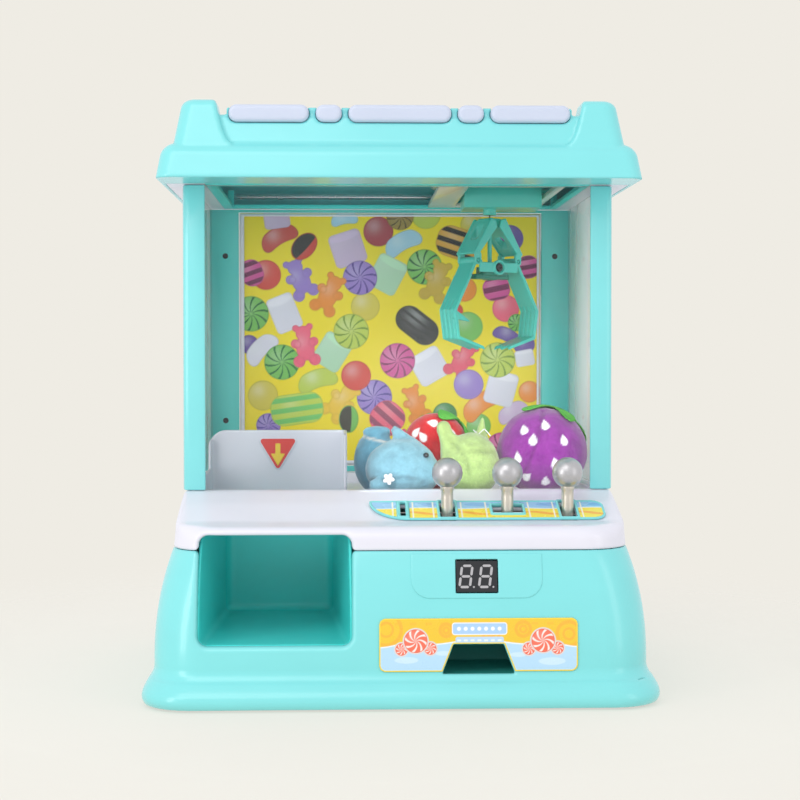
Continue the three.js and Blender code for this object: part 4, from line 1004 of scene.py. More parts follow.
def build_label():
    """The front label: sky and rings above, water below, plain dots for lettering, and sweets."""
    low, high = span("front_label")
    left, right, bottom, top = low[0], high[0], low[2], high[2]
    page = Picture((left, bottom), (right, top), 0.3, (240, 198, 46))
    u, v = page.u, page.v
    gold = linear((244, 182, 52))
    for x, z, radius in ((left + 4, 47, 9), (25.5, 46.5, 3.6), (71, 47, 4.2), (98, 44, 7), (52, 45, 5)):
        reach = np.hypot(u - x, v - z)
        page.lay(np.abs(reach - radius) - 1.0, gold)
        page.lay(np.abs(reach - radius * 0.45) - 0.7, gold)
    for x in np.arange(left, right, 9.0):
        page.lay(rectangle(u, v, x, x + 4, 49.5, 51, 0.5), gold, strength=0.5)
    middle = (left + right) / 2
    wave = v - (39.6 + 1.4 * np.cos((u - middle) * 0.11) - 4.5 * ease((np.abs(u - middle) - 38) / 20))
    page.lay(wave, linear((184, 220, 246)))
    page.lay(np.abs(wave) - 0.35, linear((236, 246, 252)))
    for x, z, half in ((2, 29, 7), (24, 33, 5), (68, 32, 5), (88, 28, 8)):
        page.lay(ellipse(u, v, x, z, half, half * 0.28), linear((206, 232, 250)))
    page.lay(rectangle(u, v, *TITLE_PLATE, 1.2) - 0.5, linear((246, 250, 253)))
    page.lay(rectangle(u, v, *TITLE_PLATE, 1.2), linear((172, 206, 240)))
    page.lay(rectangle(u, v, *SMALL_PLATE, 1.2), linear((190, 216, 242)))
    for step in range(7):
        x = 33 + step * 4
        page.lay(np.hypot(u - x, v - 47.3) - 1.15, linear((246, 250, 253)))
        page.lay(rectangle(u, v, x - 1.2, x + 1.2, 40, 41, 0.4), linear((236, 244, 252)))
    for x in LABEL_SWEETS:
        for dx, dz, radius in ((-8.4, -4.8, 3.7), (8.6, -4.4, 3.7), (0, 0, 7)):
            gumball(page, x + dx, 40.2 + dz, radius + 0.7, (250, 246, 244))
            swirl_candy(page, x + dx, 40.2 + dz, radius)
    edge = rectangle(u, v, left, right, bottom, top, 4)
    hole = polygon(u, v, COIN_MOUTH, 0.9)
    border = np.minimum(-edge, hole)
    page.lay(border - 0.75, linear((246, 214, 60)))

    def surface(a, b):
        return np.stack([a, base_front(b) - 0.7, b], 1)

    def keep(a, b):
        return np.maximum(rectangle(a, b, left, right, bottom, top, 4), -polygon(a, b, COIN_MOUTH, 0.9))

    sticker = print_sheet("front_sticker", page, surface, keep)
    thicken(sticker, 0.25)
    settle_in(sticker, "cabinet", "printed_label", gloss_print, "front_label")


def swirl_candy(picture, x, z, radius):
    """A red and white pinwheel sweet."""
    sweet = Sweet(picture, x, z, radius)
    reach = np.hypot(sweet.a, sweet.b)
    sweet.fill(reach - radius, (244, 112, 84), 0.15, 0.85, radius)
    swirl = np.cos(8 * (np.arctan2(sweet.b, sweet.a) + 1.1 * (reach / radius) ** 0.7))
    sweet.stripes(reach - radius, (0.55 - swirl) * reach * 0.2, (252, 236, 230))
    sweet.done()



# ------------------------------------------------------------------ deck and console
deck_low, deck_high = span("deck")
LEDGE = deck_high[2]
CONSOLE_REAR, CONSOLE_FRONT = (-69.5, 116.8), (-94.5, 107.4)
STICK_PIVOT = 90  # height of the joysticks' pivots
DECK_LINE = [(-130, 106.2), (-109, 106.4), CONSOLE_FRONT, CONSOLE_REAR, (-49.5, LEDGE), (140, LEDGE)]


def deck_height(y):
    """Height of the deck's top at y, with soft folds."""
    ys, zs = zip(*DECK_LINE)
    return np.mean([np.interp(y + shift, ys, zs) for shift in np.linspace(-2.5, 2.5, 7)], axis=0)


def deck_field(x, y, z):
    """White deck: ledge, sloping console with its holes, round front lip and prize well."""
    rise = np.clip((z - deck_low[2]) / (LEDGE - deck_low[2]), 0, 1)
    half = BODY_HALF - TOP_INSET - 2.3 * rise**0.7
    plan = rectangle(x, y, -half, half, BODY_FRONT + TOP_INSET, BODY_REAR, BODY_CORNER)
    top = (z - deck_height(y)) * 0.95
    soft = 3.2 + 4.6 * ease((-98 - y) / 12)
    body = both(plan, top, soft)
    hole = outlet_hole(x, y, z)
    lip = np.maximum(np.maximum(body, -(plan + SLEEVE)), hole - MOULD_WALL)
    shell = np.minimum(np.maximum(body, -(body + MOULD_WALL)), lip)
    shell = both(shell, deck_low[2] - z, 0.9)
    shell = cut(shell, hole, 3.0)
    well = rectangle(x, y, -126, 126, -43, 121, 3)
    shell = cut(shell, np.maximum(well, 100 - z), 1.0)
    sides, flat, up = to_console(x, y, z)
    holes = rectangle(sides, flat, -0.6, 3.6, -10.3, 10.3, 0.3)
    for gate in GATES:
        holes = np.minimum(holes, gate_outline(sides, flat, gate, 0.5, 0.3))
    return cut(shell, np.maximum(holes, slab(up, -12, 8)), 0.3)


GATES = [(28.9, 4.5, 11.3), (66, 9, 5.6), (103.2, 4.5, 11.3)]  # middle, half width and half length of each
SLOPE = math.atan2(CONSOLE_REAR[1] - CONSOLE_FRONT[1], CONSOLE_REAR[0] - CONSOLE_FRONT[0])
CONSOLE_MIDDLE = ((CONSOLE_REAR[0] + CONSOLE_FRONT[0]) / 2, (CONSOLE_REAR[1] + CONSOLE_FRONT[1]) / 2)


def to_console(x, y, z):
    """Object axes to console axes: across, up the slope, off the slope."""
    dy, dz = y - CONSOLE_MIDDLE[0], z - CONSOLE_MIDDLE[1]
    return x, dy * math.cos(SLOPE) + dz * math.sin(SLOPE), dz * math.cos(SLOPE) - dy * math.sin(SLOPE)


def console_place():
    """The console's own axes as a matrix."""
    return Matrix.Translation(Vector((0, *CONSOLE_MIDDLE)) * MM) @ Matrix.Rotation(SLOPE, 4, "X")


def console_outline(u, v):
    """Square at its rear left, with one long round at the front left."""
    whole = rectangle(u, v, -19, 126, -12.6, 12.6, 8)
    rear_left = rectangle(u, v, -19, 60, 0, 12.6, 1.5)
    front_left = np.hypot(u - 6, (v - 12) * 1.02) - 25
    return np.maximum(np.minimum(whole, rear_left), np.where((u < 6) & (v < 12), front_left, -99))


def gate_outline(u, v, gate, grow, radius, longest=100):
    """A joystick gate's rectangle, grown on every side and no longer than longest from its middle."""
    middle, half_across, half_along = gate
    reach = min(half_along + grow, longest)
    return rectangle(u, v, middle - half_across - grow, middle + half_across + grow, -reach, reach, radius)


def panel_field(u, v, w):
    """Thin surround with a recess for the print and a raised rim round each gate."""
    outline = console_outline(u, v)
    plate = np.maximum(outline, slab(w, 0.3, 1.9))
    recess = np.maximum(outline + 1.3, 1.3 - w)
    plate = cut(plate, recess, 0.25)
    raised = rectangle(u, v, 1.5 - 3.8, 1.5 + 3.8, -11.6, 11.6, 1.2)
    holes = rectangle(u, v, -0.1, 3.1, -9.8, 9.8, 0.5)
    for gate in GATES:
        raised = np.minimum(raised, gate_outline(u, v, gate, 1.8, 1.2, 12.4))
        holes = np.minimum(holes, gate_outline(u, v, gate, 0, 0.8) - 0.25)
    plate = np.minimum(plate, both(raised, slab(w, 0.4, 2.6), 0.4))
    return cut(plate, holes, 0.35)


def build_deck():
    """Deck, console surround and print, chute and joysticks."""
    stand_in("deck", "deck_moulding", deck_field, 1.25, "cabinet", "white_plastic", white)
    panel = moulded("console_surround", panel_field, (-20, -13, 0), (127, 13, 3), 0.6, console_place())
    settle_in(panel, "cabinet", "aqua_plastic", aqua, "console_panel")
    build_console_print()
    build_chute()
    for side in ("left", "middle", "right"):
        build_stick(side)


def build_console_print():
    """The console's print: a wave, warm ripples and pale lines, laid in the surround's recess."""
    page = Picture((-19, -12.6), (126, 12.6), 0.3, (250, 226, 70))
    u, v = page.u, page.v
    page.lay(2.2 + 0.8 * np.sin(u * 0.12) - v, linear((150, 200, 236)))
    page.lay(np.abs(v - 2.4 - 0.8 * np.sin(u * 0.12)) - 0.4, linear((240, 246, 250)))
    for x, reach in ((44, 14), (88, 13), (14, 8), (118, 9)):
        page.lay(np.abs(v + 4.5 + 1.5 * np.sin((u - x) * 0.2)) - 1.7 + 0.1 * np.abs(u - x) * 0.9,
                 linear((250, 176, 58)))
        page.lay(ellipse(u, v, x + 4, 7.5, reach * 0.6, 2.2), linear((126, 178, 226)))
    for x0, half_x, _ in [(1.5, 2, 0), *GATES]:
        for side in (-1, 1):
            page.lay(np.abs(u - x0 - side * (half_x + 4.2)) - 0.45, linear((250, 244, 226)))
    place = console_place()

    def surface(a, b):
        flat = np.stack([a, b, np.full(len(a), 1.45), np.ones(len(a)) / MM], 1) * MM
        return (flat @ np.array(place).T)[:, :3] / MM

    def keep(a, b):
        raised = rectangle(a, b, -2.6, 5.6, -12, 12, 1)
        for gate in GATES:
            raised = np.minimum(raised, gate_outline(a, b, gate, 1.5, 1, 12))
        return np.maximum(console_outline(a, b) + 1.35, -raised)

    inlay = print_sheet("console_print", page, surface, keep)
    settle_in(inlay, "cabinet", "printed_label", gloss_print)


CHUTE_WALL = 2
CHUTE_LEFT_EDGE = 133  # height of the chute's low left wall


def chute_field(x, y, z):
    """Four-sided duct with a round top corner, cut down at the front and at the left."""
    low, high = span("chute_duct")
    wall = CHUTE_WALL
    outer = rectangle(x, y, low[0], high[0], low[1], high[1], 3)
    inner = rectangle(x, y, low[0] + wall, high[0] - wall, low[1] + wall, high[1] - wall, 2)
    duct = np.maximum(outer, -inner)
    corner = rectangle(x, z, low[0], high[0] + 30, low[2] - 40, high[2], 12)
    duct = both(duct, np.maximum(corner, low[2] - z), 0.8)
    front_cut = np.maximum(slab(x, low[0] - 5, high[0] - wall - 0.1), LEDGE - 1 - z)
    front_cut = np.maximum(front_cut, slab(y, low[1] - 5, low[1] + wall + 0.5))
    left_cut = np.maximum(np.maximum(x - low[0] - wall - 0.1, y - (high[1] - wall - 6)), CHUTE_LEFT_EDGE - z)
    duct = cut(duct, front_cut, 0.7)
    return cut(duct, left_cut, 0.7)


def build_chute():
    """The duct and its warning triangle, which carries an arrow in place of a word."""
    stand_in("chute_duct", "chute_moulding", chute_field, 1.05, "cabinet", "white_plastic", white)
    low, high = span("chute_sign")
    middle = (low[0] + high[0]) / 2
    face = high[1]
    corners = [(low[0] + 2.5, high[2] - 2.5), (high[0] - 2.5, high[2] - 2.5), (middle, low[2] + 4)]

    def rim(x, y, z):
        return both(polygon(x, z, corners, 2.5), slab(y, low[1] + 0.15, face), 0.25)

    def plate(x, y, z):
        return both(polygon(x, z, corners, 1.7), slab(y, low[1], face - 0.2), 0.2)

    def arrow(x, y, z):
        tip = [(middle - 4.2, 142.4), (middle + 4.2, 142.4), (middle, 135.2)]
        stem = rectangle(x, z, middle - 1.7, middle + 1.7, 141, 149.6, 0.4)
        return both(np.minimum(polygon(x, z, tip, 0.4), stem), slab(y, low[1] - 0.25, face - 0.4), 0.15)

    for name, field, material in (
        ("chute_sign_rim", rim, white),
        ("chute_sign_plate", plate, sign_red),
        ("chute_sign_arrow", arrow, sign_yellow),
    ):
        made = moulded(name, field, (low[0], low[1] - 0.4, low[2]), high, 0.3)
        settle_in(made, "cabinet", "sign_plastic", material)
    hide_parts("chute_sign")


SHAFT_RADIUS, SHAFT_COLLAR = 3.75, 0.5
PIN_RADIUS, PIN_REACH = 1.9, 9.4
SHIELD_OUTER, SHIELD_INNER = 13.8, 12.8


def build_stick(side):
    """A ball knob on a turned shaft, with its pivot pin and the thin dome that hides the gate."""
    low, high = span("joystick_knob_" + side)
    x, y = (low[0] + high[0]) / 2, (low[1] + high[1]) / 2
    radius = (high[0] - low[0]) / 2
    centre = high[2] - radius
    foot = span("joystick_shaft_" + side)[0][2]
    profile = [(0, -radius + 0.9), (3.95, -radius + 0.9), *arc(0, 0, radius, -62, 88, 26), (0, radius)]
    knob = turned("stick_ball_" + side, profile, (x, y, centre), 64)
    body = "joystick_" + side
    settle_in(knob, body, "silver_finish", silver, "joystick_knob_" + side)
    top = centre - radius + 1
    collar = SHAFT_RADIUS + SHAFT_COLLAR
    stem = [(0, foot), (SHAFT_RADIUS - 0.8, foot), (SHAFT_RADIUS, foot + 0.8), (SHAFT_RADIUS, top - 6),
            (SHAFT_RADIUS, top - 2.4), (collar, top - 1.8), (collar, top), (0, top)]
    rod = turned("stick_shaft_" + side, stem, (x, y, 0), 48)
    settle_in(rod, body, "silver_finish", champagne, "joystick_shaft_" + side)
    pin = [(0, -PIN_REACH), (PIN_RADIUS - 0.3, -PIN_REACH), (PIN_RADIUS, -PIN_REACH + 0.4),
           (PIN_RADIUS, PIN_REACH - 0.4), (PIN_RADIUS - 0.3, PIN_REACH), (0, PIN_REACH)]
    axis = "y" if side == "middle" else "x"
    trunnion = turned("stick_pin_" + side, pin, (x, y, STICK_PIVOT), 24, axis)
    settle_in(trunnion, body, "silver_finish", steel)
    dome = [(0, SHIELD_INNER), *arc(0, 0, SHIELD_INNER, 86, 40, 10)]
    dome += [*arc(0, 0, SHIELD_OUTER, 40, 86, 10), (0, SHIELD_OUTER)]
    shield = turned("stick_shield_" + side, dome, (x, y, STICK_PIVOT), 48)
    settle_in(shield, body, "aqua_plastic", aqua_deep)


# ------------------------------------------------------------------ cabinet
CARD_RIM, CARD_RIM_DEPTH = 2.6, 1.1
SCREW_X, SCREW_HEIGHTS = 121.3, (161.1, 281.9)
FRAME_INNER, FRAME_REAR = 126, 130.05  # where the sockets and the screw heads of the rear frame lie


def build_cabinet():
    """The picture card with its rim, and the rear frame's screws."""
    low, high = span("backdrop_card")
    page = candy_card_picture((low[0], low[2]), (high[0], high[2]))

    def surface(a, b):
        return np.stack([a, np.full(len(a), low[1]), b], 1)

    card = print_sheet("candy_card", page, surface)
    thicken(card, high[1] - low[1])
    settle_in(card, "rear_door", "printed_card", paper, "backdrop_card")
    face = low[1] - CARD_RIM_DEPTH

    def rim(x, y, z):
        outer = front_of(x, z, low, high, 1)
        return both(np.maximum(outer, -(outer + CARD_RIM)), slab(y, face, low[1] - 0.15), 0.25)

    edging = moulded("card_frame", rim, (low[0], face, low[2]), (high[0], low[1], high[2]), 0.9)
    settle_in(edging, "rear_door", "white_plastic", white)
    holes = [(side * SCREW_X, z) for side in (-1, 1) for z in SCREW_HEIGHTS]
    places = [(x, FRAME_REAR, z) for x, z in holes]
    screw_heads("frame_screws", places, 1, 2.9, "cabinet", "bright_steel", steel)
    socket = [(0, -0.12), (1.5, -0.12), (1.9, -0.3), (2.1, 0.05), (0, 0.05)]
    for number, (x, z) in enumerate(holes, 1):
        made = turned(f"frame_socket_{number}", socket, (x, FRAME_INNER, z), 20, "y")
        settle_in(made, "cabinet", "black_plastic", black)



# ------------------------------------------------------------------ roof
roof_low, roof_high = span("roof_shell")
SHOULDER, CROWN_TOP, BROW_TOP = 338, 356, 360.3
BAND_DRAFT, CROWN_DRAFT = 0.18, 0.19
TURRET_DEPTH = 34
BROW_HALF, BROW_REAR = 106, -66  # the raised bar that holds the light covers
ROOF_JOIN = 330  # height from which the brow and the turrets grow out of the roof
EAVE_BACK, POCKET_BACK = -49.8, -69.4  # rear ends of the closed eave and of the covers' pockets
CROWN_HALF, CROWN_FRONT, CROWN_REAR = 138.2, -82.5, 128.5
COVERS = [f"light_cover_{number}" for number in range(1, 6)]
COVER_ROUND, COVER_GAP = 5, 0.3


def roof_band(x, y, z, inset=0.0):
    """The roof's wide lower band, which leans in and has a round shoulder."""
    lean = BAND_DRAFT * (z - roof_low[2]) + inset
    left, right = roof_low[0] + lean, roof_high[0] - lean
    plan = rectangle(x, y, left, right, roof_low[1] + lean, roof_high[1] - lean, 10)
    return both(plan, z - SHOULDER + inset, 8)


def roof_crown(x, y, z):
    """The flat crown between the turrets."""
    lean = CROWN_DRAFT * (z - SHOULDER)
    plan = rectangle(x, y, -CROWN_HALF + lean, CROWN_HALF - lean, CROWN_FRONT + lean, CROWN_REAR - lean, 20)
    return both(plan, z - CROWN_TOP, 3)


def turrets(x, y, z):
    """Four corner turrets that lean in and have round shoulders outside, sharper ones inside."""
    rise = np.clip(z - SHOULDER, 0, None)
    near = 102.4 + 9 * np.sqrt(rise / 21)
    far = CROWN_HALF + 0.3 - CROWN_DRAFT * (z - SHOULDER)
    lean = CROWN_DRAFT * (z - SHOULDER)
    side = np.abs(x)
    middle = (CROWN_FRONT + CROWN_REAR) / 2
    across = np.abs(y - middle)
    reach = (CROWN_REAR - CROWN_FRONT) / 2 + 3
    outer = rectangle(side, across, -400, far, -400, reach - lean, 9)
    outer = both(outer, z - roof_high[2], 5)
    inner = np.maximum(near - side, reach - TURRET_DEPTH + lean - across)
    return both(outer, inner, 2.2)


def roof_field(x, y, z):
    """The whole roof, hollow below, with a pocket for each light cover."""
    upper = either(roof_crown(x, y, z), roof_band(x, y, z), 2.2)
    brow_low, brow_high = (-BROW_HALF, CROWN_FRONT + 4.2, ROOF_JOIN), (BROW_HALF, BROW_REAR, BROW_TOP)
    brow = block(x, y, z, brow_low, brow_high, 1.2)
    solid = either(upper, brow, 0.8)
    solid = either(solid, np.maximum(turrets(x, y, z), ROOF_JOIN - z), 0.7)
    hollow = roof_band(x, y, z, WALL + (MOULD_WALL - WALL) * ease((z - roof_low[2] - 4) / 3))
    crown_hollow = block(x, y, z, (-130, -64, 300), (130, 122, 353.6), 3)
    floor = np.maximum(slab(z, roof_low[2], roof_low[2] + WALL), y - EAVE_BACK)
    shell = np.maximum(solid, -np.minimum(hollow, crown_hollow))
    shell = np.minimum(shell, np.maximum(roof_band(x, y, z), floor))
    shell = both(shell, roof_low[2] - z, 0.7)
    for cover in COVERS:
        low, high = span(cover)
        pocket = front_of(x, z, low, high, COVER_ROUND + COVER_GAP, COVER_GAP)
        shell = cut(shell, np.maximum(pocket, y - POCKET_BACK), 0.3)
    return shell


def cover_field(low, high):
    """A long light cover with a round front edge."""

    def field(x, y, z):
        pill = front_of(x, z, low, high, COVER_ROUND)
        front = both(pill, low[1] - y, 2.6)
        return both(front, y - high[1], 0.6)

    return field


def build_roof():
    """The roof and its light covers."""
    stand_in("roof_shell", "roof_moulding", roof_field, 1.3, "cabinet", "aqua_plastic", aqua)
    for cover in COVERS:
        stand_in(cover, cover + "_lens", cover_field(*span(cover)), 0.75, "cabinet", "frosted_light", frosted)


# ------------------------------------------------------------------ gantry and claw
CLAW_X, CLAW_Y, CLAW_TURN = 67, 56, math.radians(35)
CLAW_TOP = span("claw_frame")[1][2]
PIVOT_Z, PIVOT_R = 274, 18
EYE_Z = 269.5  # height of the screw in the claw's front bar
TENT_HALF = 10  # half of the claw frame's depth
HUB_TOP, HUB_BOTTOM = PIVOT_Z - 4, PIVOT_Z - 13
FINGER = [(PIVOT_R + 1.6, PIVOT_Z), (38.2, PIVOT_Z - 34), (35.2, PIVOT_Z - 54), (10.5, PIVOT_Z - 61.5),
          (12, PIVOT_Z - 58.8), (33, PIVOT_Z - 52), (35.4, PIVOT_Z - 34), (PIVOT_R - 1.2, PIVOT_Z)]
FINGER_HALF = 8.5
TINE_Y = -6.8
TINE = ((35.2, TINE_Y, PIVOT_Z - 38), (23.5, TINE_Y, PIVOT_Z - 42))
STRING_RADIUS, STRING_TWIST = 0.46, 0.06


def claw_place():
    """The claw's own axes: its middle rod is up the Z axis."""
    return Matrix.Translation(Vector((CLAW_X, CLAW_Y, 0)) * MM) @ Matrix.Rotation(CLAW_TURN, 4, "Z")


def build_string():
    """The claw's twisted string, whose upper end is at the carriage and lower end at the claw."""
    low, high = span("hoist_string")
    x, y = (low[0] + high[0]) / 2, (low[1] + high[1]) / 2
    heights = np.linspace(low[2], high[2], 60)
    profile = [(STRING_RADIUS + STRING_TWIST * math.sin(step * 1.9), h) for step, h in enumerate(heights)]
    profile = [(0, heights[0]), *profile, (0, heights[-1])]
    string = turned("hoist_cord", profile, (x, y, 0), 12)
    string.data.materials.append(cord)
    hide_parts("hoist_string")
    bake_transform(string)


TENT_PLATE = [(3, CLAW_TOP - 2), (6, CLAW_TOP - 1), (PIVOT_R + 3, PIVOT_Z + 5),
              (PIVOT_R + 1, PIVOT_Z + 4), (2, CLAW_TOP - 6)]


def tent_field(x, y, z):
    """Two sloping plates with raised edges, a cap, pivot ears and a guide rod."""
    body = block(x, y, z, (-6, -6, CLAW_TOP - 6), (6, 6, CLAW_TOP), 1)
    side = np.abs(x)
    plate = polygon(side, z, TENT_PLATE)
    rims = np.maximum(polygon(side, z, TENT_PLATE, 0.9), 8.4 - np.abs(y))
    sides = np.abs(y) - TENT_HALF
    plate = np.minimum(np.maximum(plate, sides), np.maximum(rims, sides))
    window = rectangle(side, y, 8, 14.5, -4, 4, 2)
    plate = cut(plate, window, 0.4)
    plate = cut(plate, np.hypot(side - PIVOT_R, z - PIVOT_Z) - 4.4, 0.3)
    body = either(body, both(plate, sides, 0.5), 0.8)
    low = PIVOT_Z - 2.8
    ear = rectangle(side, z, PIVOT_R - 2.6, PIVOT_R + 2.6, low, PIVOT_Z + 6, 2.4)
    body = either(body, np.maximum(ear, slab(np.abs(y), 8.1, TENT_HALF)), 0.4)
    body = cut(body, np.hypot(side - PIVOT_R, z - PIVOT_Z) - 1.6, 0.2)
    bar = rectangle(x, z, -PIVOT_R + 1, PIVOT_R - 1, EYE_Z - 3.4, EYE_Z + 3.4, 1)
    bar = both(bar, slab(y, -10.2, -8.7), 0.4)
    eye = np.hypot(x, z - EYE_Z)
    bar = either(bar, both(eye - 5.2, slab(y, -11.4, -8.7), 0.5), 0.5)
    bar = cut(bar, np.maximum(eye - 3.7, y + 10.2), 0.3)
    body = either(body, bar, 0.5)
    guide = np.maximum(np.hypot(x, y) - 1.5, slab(z, PIVOT_Z - 8.6, CLAW_TOP - 4))
    return either(body, guide, 0.6)


def hub_field(x, y, z):
    """Three-lobed block on a neck with two arms, a ring groove in its top and a bore."""
    top, bottom = HUB_TOP, HUB_BOTTOM
    plan = np.hypot(x, y) - 9.5
    for third in range(3):
        angle = math.pi / 2 + third * 2 * math.pi / 3
        plan = either(plan, np.hypot(x - 8.5 * math.cos(angle), y - 8.5 * math.sin(angle)) - 4, 1.5)
    disc = both(plan, slab(z, bottom + 3, top), 0.7)
    neck = both(np.hypot(x, y) - 5, slab(z, bottom, bottom + 5), 0.8)
    arms = rectangle(x, y, -15.5, 15.5, -5, 5, 4)
    neck = np.minimum(neck, both(arms, slab(z, bottom + 0.5, bottom + 4), 0.6))
    pockets = np.maximum(np.abs(np.hypot(x, y) - 6) - 1.4, top - 2.4 - z)
    hub = cut(either(disc, neck, 1.0), pockets, 0.3)
    return cut(hub, np.hypot(x, y) - 1.9, 0.2)


def finger_field(side):
    """Bent strip with grooves outside, a lever and a toothed tip; the left one has a tine."""

    def field(x, y, z):
        out = x * side
        section = polygon(out, z, FINGER)
        blade = both(section, np.abs(y) - FINGER_HALF, 0.6)
        ridge = np.abs((y + FINGER_HALF) % 4.25 - 2.125) - 0.75
        groove = np.maximum(np.maximum(ridge, -(section + 0.75)), z - PIVOT_Z + 22)
        beside = out - 33.6 + (PIVOT_Z - 34 - z) * 0.05 > 0
        under = z < PIVOT_Z - 53.5 - (33 - out) * 0.33
        blade = np.where(beside | under, cut(blade, groove, 0.2), blade)
        for centre in (-4.2, 4.2):
            notch = polygon(out, y, [(5, centre - 2.4), (21, centre), (5, centre + 2.4)])
            blade = cut(blade, np.maximum(notch, z - PIVOT_Z + 50), 0.25)
        shoulder = np.maximum(7.9 - np.abs(y), slab(z, PIVOT_Z - 10, PIVOT_Z + 4))
        blade = cut(blade, shoulder, 0.4)
        if side < 0:
            tine = segment(out, y, z, *TINE, 3.0, 0.35)
            blade = either(blade, both(tine, np.abs(y - TINE_Y) - 1.2, 0.3), 0.5)
        barrel = both(np.hypot(out - PIVOT_R, z - PIVOT_Z) - 2.6, np.abs(y) - 7.7, 0.4)
        pin = np.maximum(np.hypot(out - PIVOT_R, z - PIVOT_Z) - 1, np.abs(y) - 9.7)
        lever = block(out, y, z, (8.6, -3, PIVOT_Z - 1.2), (PIVOT_R - 1, 3, PIVOT_Z + 0.8), 0.5)
        return np.minimum(either(either(blade, barrel, 0.8), lever, 0.6), pin)

    return field


def build_claw():
    """The claw's frame, hub, screw and two fingers."""
    place = claw_place()
    frame_piece = moulded("claw_tent", tent_field, (-22, -11.5, 264), (22, 10.2, CLAW_TOP), 0.6, place)
    settle_in(frame_piece, "claw", "claw_plastic", claw_plastic, "claw_frame")
    # The hub's darker plastic is painted shade under the claw frame.
    hub = moulded("claw_hub_block", hub_field, (-16, -13, 260.5), (16, 13, 270.5), 0.55, place)
    settle_in(hub, "claw_hub", "claw_hub_plastic", hub_shade_plastic, "claw_hub")
    head = [(0, -0.5), (0.8, -0.5), (1.2, -1.0), (2.2, -0.9), (2.9, -0.4), (3.1, 0.3), (0, 0.3)]
    screw = turned("claw_screw", head, (0, -10.3, EYE_Z), 32, "y")
    screw.data.transform(place)
    settle_in(screw, "claw", "black_plastic", black)
    for name, side in (("left", -1), ("right", 1)):
        low = (9 if side > 0 else -39, -10, 211.5)
        high = (39 if side > 0 else -9, 10, 277.5)
        finger = moulded("claw_blade_" + name, finger_field(side), low, high, 0.62, place)
        settle_in(finger, "finger_" + name, "claw_plastic", claw_plastic, "claw_finger_" + name)




# ------------------------------------------------------------------ stuffed prizes
def stuffing(made, pressure, limit):
    """Blows a soft cover up from inside, keeps each point within limit (mm), and leaves a plain mesh."""
    start = np.empty(len(made.data.vertices) * 3)
    made.data.vertices.foreach_get("co", start)
    cloth = made.modifiers.new("cover", "CLOTH")
    settings = cloth.settings
    settings.use_pressure = True
    settings.uniform_pressure_force = pressure
    settings.effector_weights.gravity = 0
    settings.tension_stiffness = 22
    settings.bending_stiffness = 0.9
    settings.shrink_min = -0.04
    cloth.point_cache.frame_end = 20
    scene = bpy.context.scene
    for step in range(1, 21):
        scene.frame_set(step)
    shaped = made.evaluated_get(bpy.context.evaluated_depsgraph_get())
    end = np.empty(len(start))
    shaped.data.vertices.foreach_get("co", end)
    move = (end - start).reshape(-1, 3)
    length = np.linalg.norm(move, axis=1, keepdims=True)
    move *= np.minimum(1, limit * MM / np.maximum(length, 1e-9))
    made.modifiers.remove(cloth)
    made.data.vertices.foreach_set("co", (start.reshape(-1, 3) + move).ravel())
    scene.frame_set(1)


def stitched(points, places, width):
    """How far each point is inside a seam line drawn through places."""
    near = np.full(len(points), 1e9)
    for start, end in zip(places[:-1], places[1:]):
        near = np.minimum(near, segment(*points.T, start, end, 0))
    return np.clip(1 - near / width, 0, 1)


def plush(name, node, slot, field, low, high, colours, seed, cell, seams=()):
    """A stuffed prize: soft cover, sewn seams with painted shade along them, brushed pile, and ink by place.
    """
    made = moulded(name, field, low, high, cell)
    stuffing(made, 4.0, 2.2)
    refine(made, 2 if cell > 3 else 1)
    size = len(made.data.vertices)
    flat = np.empty(size * 3)
    made.data.vertices.foreach_get("co", flat)
    points = flat.reshape(-1, 3) / MM
    normals = np.empty(size * 3)
    made.data.vertices.foreach_get("normal", normals)
    normals = normals.reshape(-1, 3)
    depth = np.zeros(size)
    for places in seams:
        depth = np.maximum(depth, stitched(points, places, 2.4))
    dice = np.random.default_rng(seed)
    lumps = np.zeros(size)
    for _ in range(14):
        wave = dice.normal(0, 1, 3) * 0.22
        lumps += np.sin(points @ wave + dice.uniform(0, 6.3)) * 0.055
    points += normals * (lumps - 1.1 * depth**1.5 + dice.normal(0, 0.05, size))[:, None]
    made.data.vertices.foreach_set("co", (points * MM).ravel())
    ink = np.ones((size, 4), np.float32)
    # Painted shade: the colour is darkened by up to a quarter along the seam creases.
    ink[:, :3] = colours(points) * (1 - 0.25 * depth)[:, None]
    layer = made.data.color_attributes.new("ink", "FLOAT_COLOR", "POINT")
    layer.data.foreach_set("color", ink.ravel())
    made.data.polygons.foreach_set("use_smooth", [True] * len(made.data.polygons))
    settle_in(made, "cabinet", slot, dyed_plush(name + "_fabric"), node)


def refine(made, levels):
    """Applies a smooth subdivision."""
    finer = made.modifiers.new("finer", "SUBSURF")
    finer.levels = levels
    shaped = made.evaluated_get(bpy.context.evaluated_depsgraph_get())
    fresh = bpy.data.meshes.new_from_object(shaped)
    made.modifiers.remove(finer)
    made.data = fresh


def dyed_plush(name):
    """Short velvet pile over dyed cloth: brushed patches and bright tips."""
    made = Finish(name, Sheen_Weight=0.5, Sheen_Roughness=0.5, Specular_IOR_Level=0.15)
    ink = made.node("ShaderNodeVertexColor", layer_name="ink").outputs["Color"]
    brushed = made.ramp(made.noise(6, 4.0, 0.6), 0, 1, 0.35, 0.65)
    pile = made.noise(0.8, 5.0, 0.7)
    shade = made.mix(brushed, (0.8, 0.8, 0.82), (1.04, 1.04, 1.04))
    tips = made.mix(made.ramp(pile, 0, 1, 0.35, 0.7), (0.78, 0.78, 0.8), (1.12, 1.12, 1.12))
    made.colour(made.mix(1.0, made.mix(1.0, ink, shade, "MULTIPLY"), tips, "MULTIPLY"))
    made.roughness(made.ramp(pile, 0.75, 1.0))
    made.bump(pile, 0.6, 0.5)
    return made.material


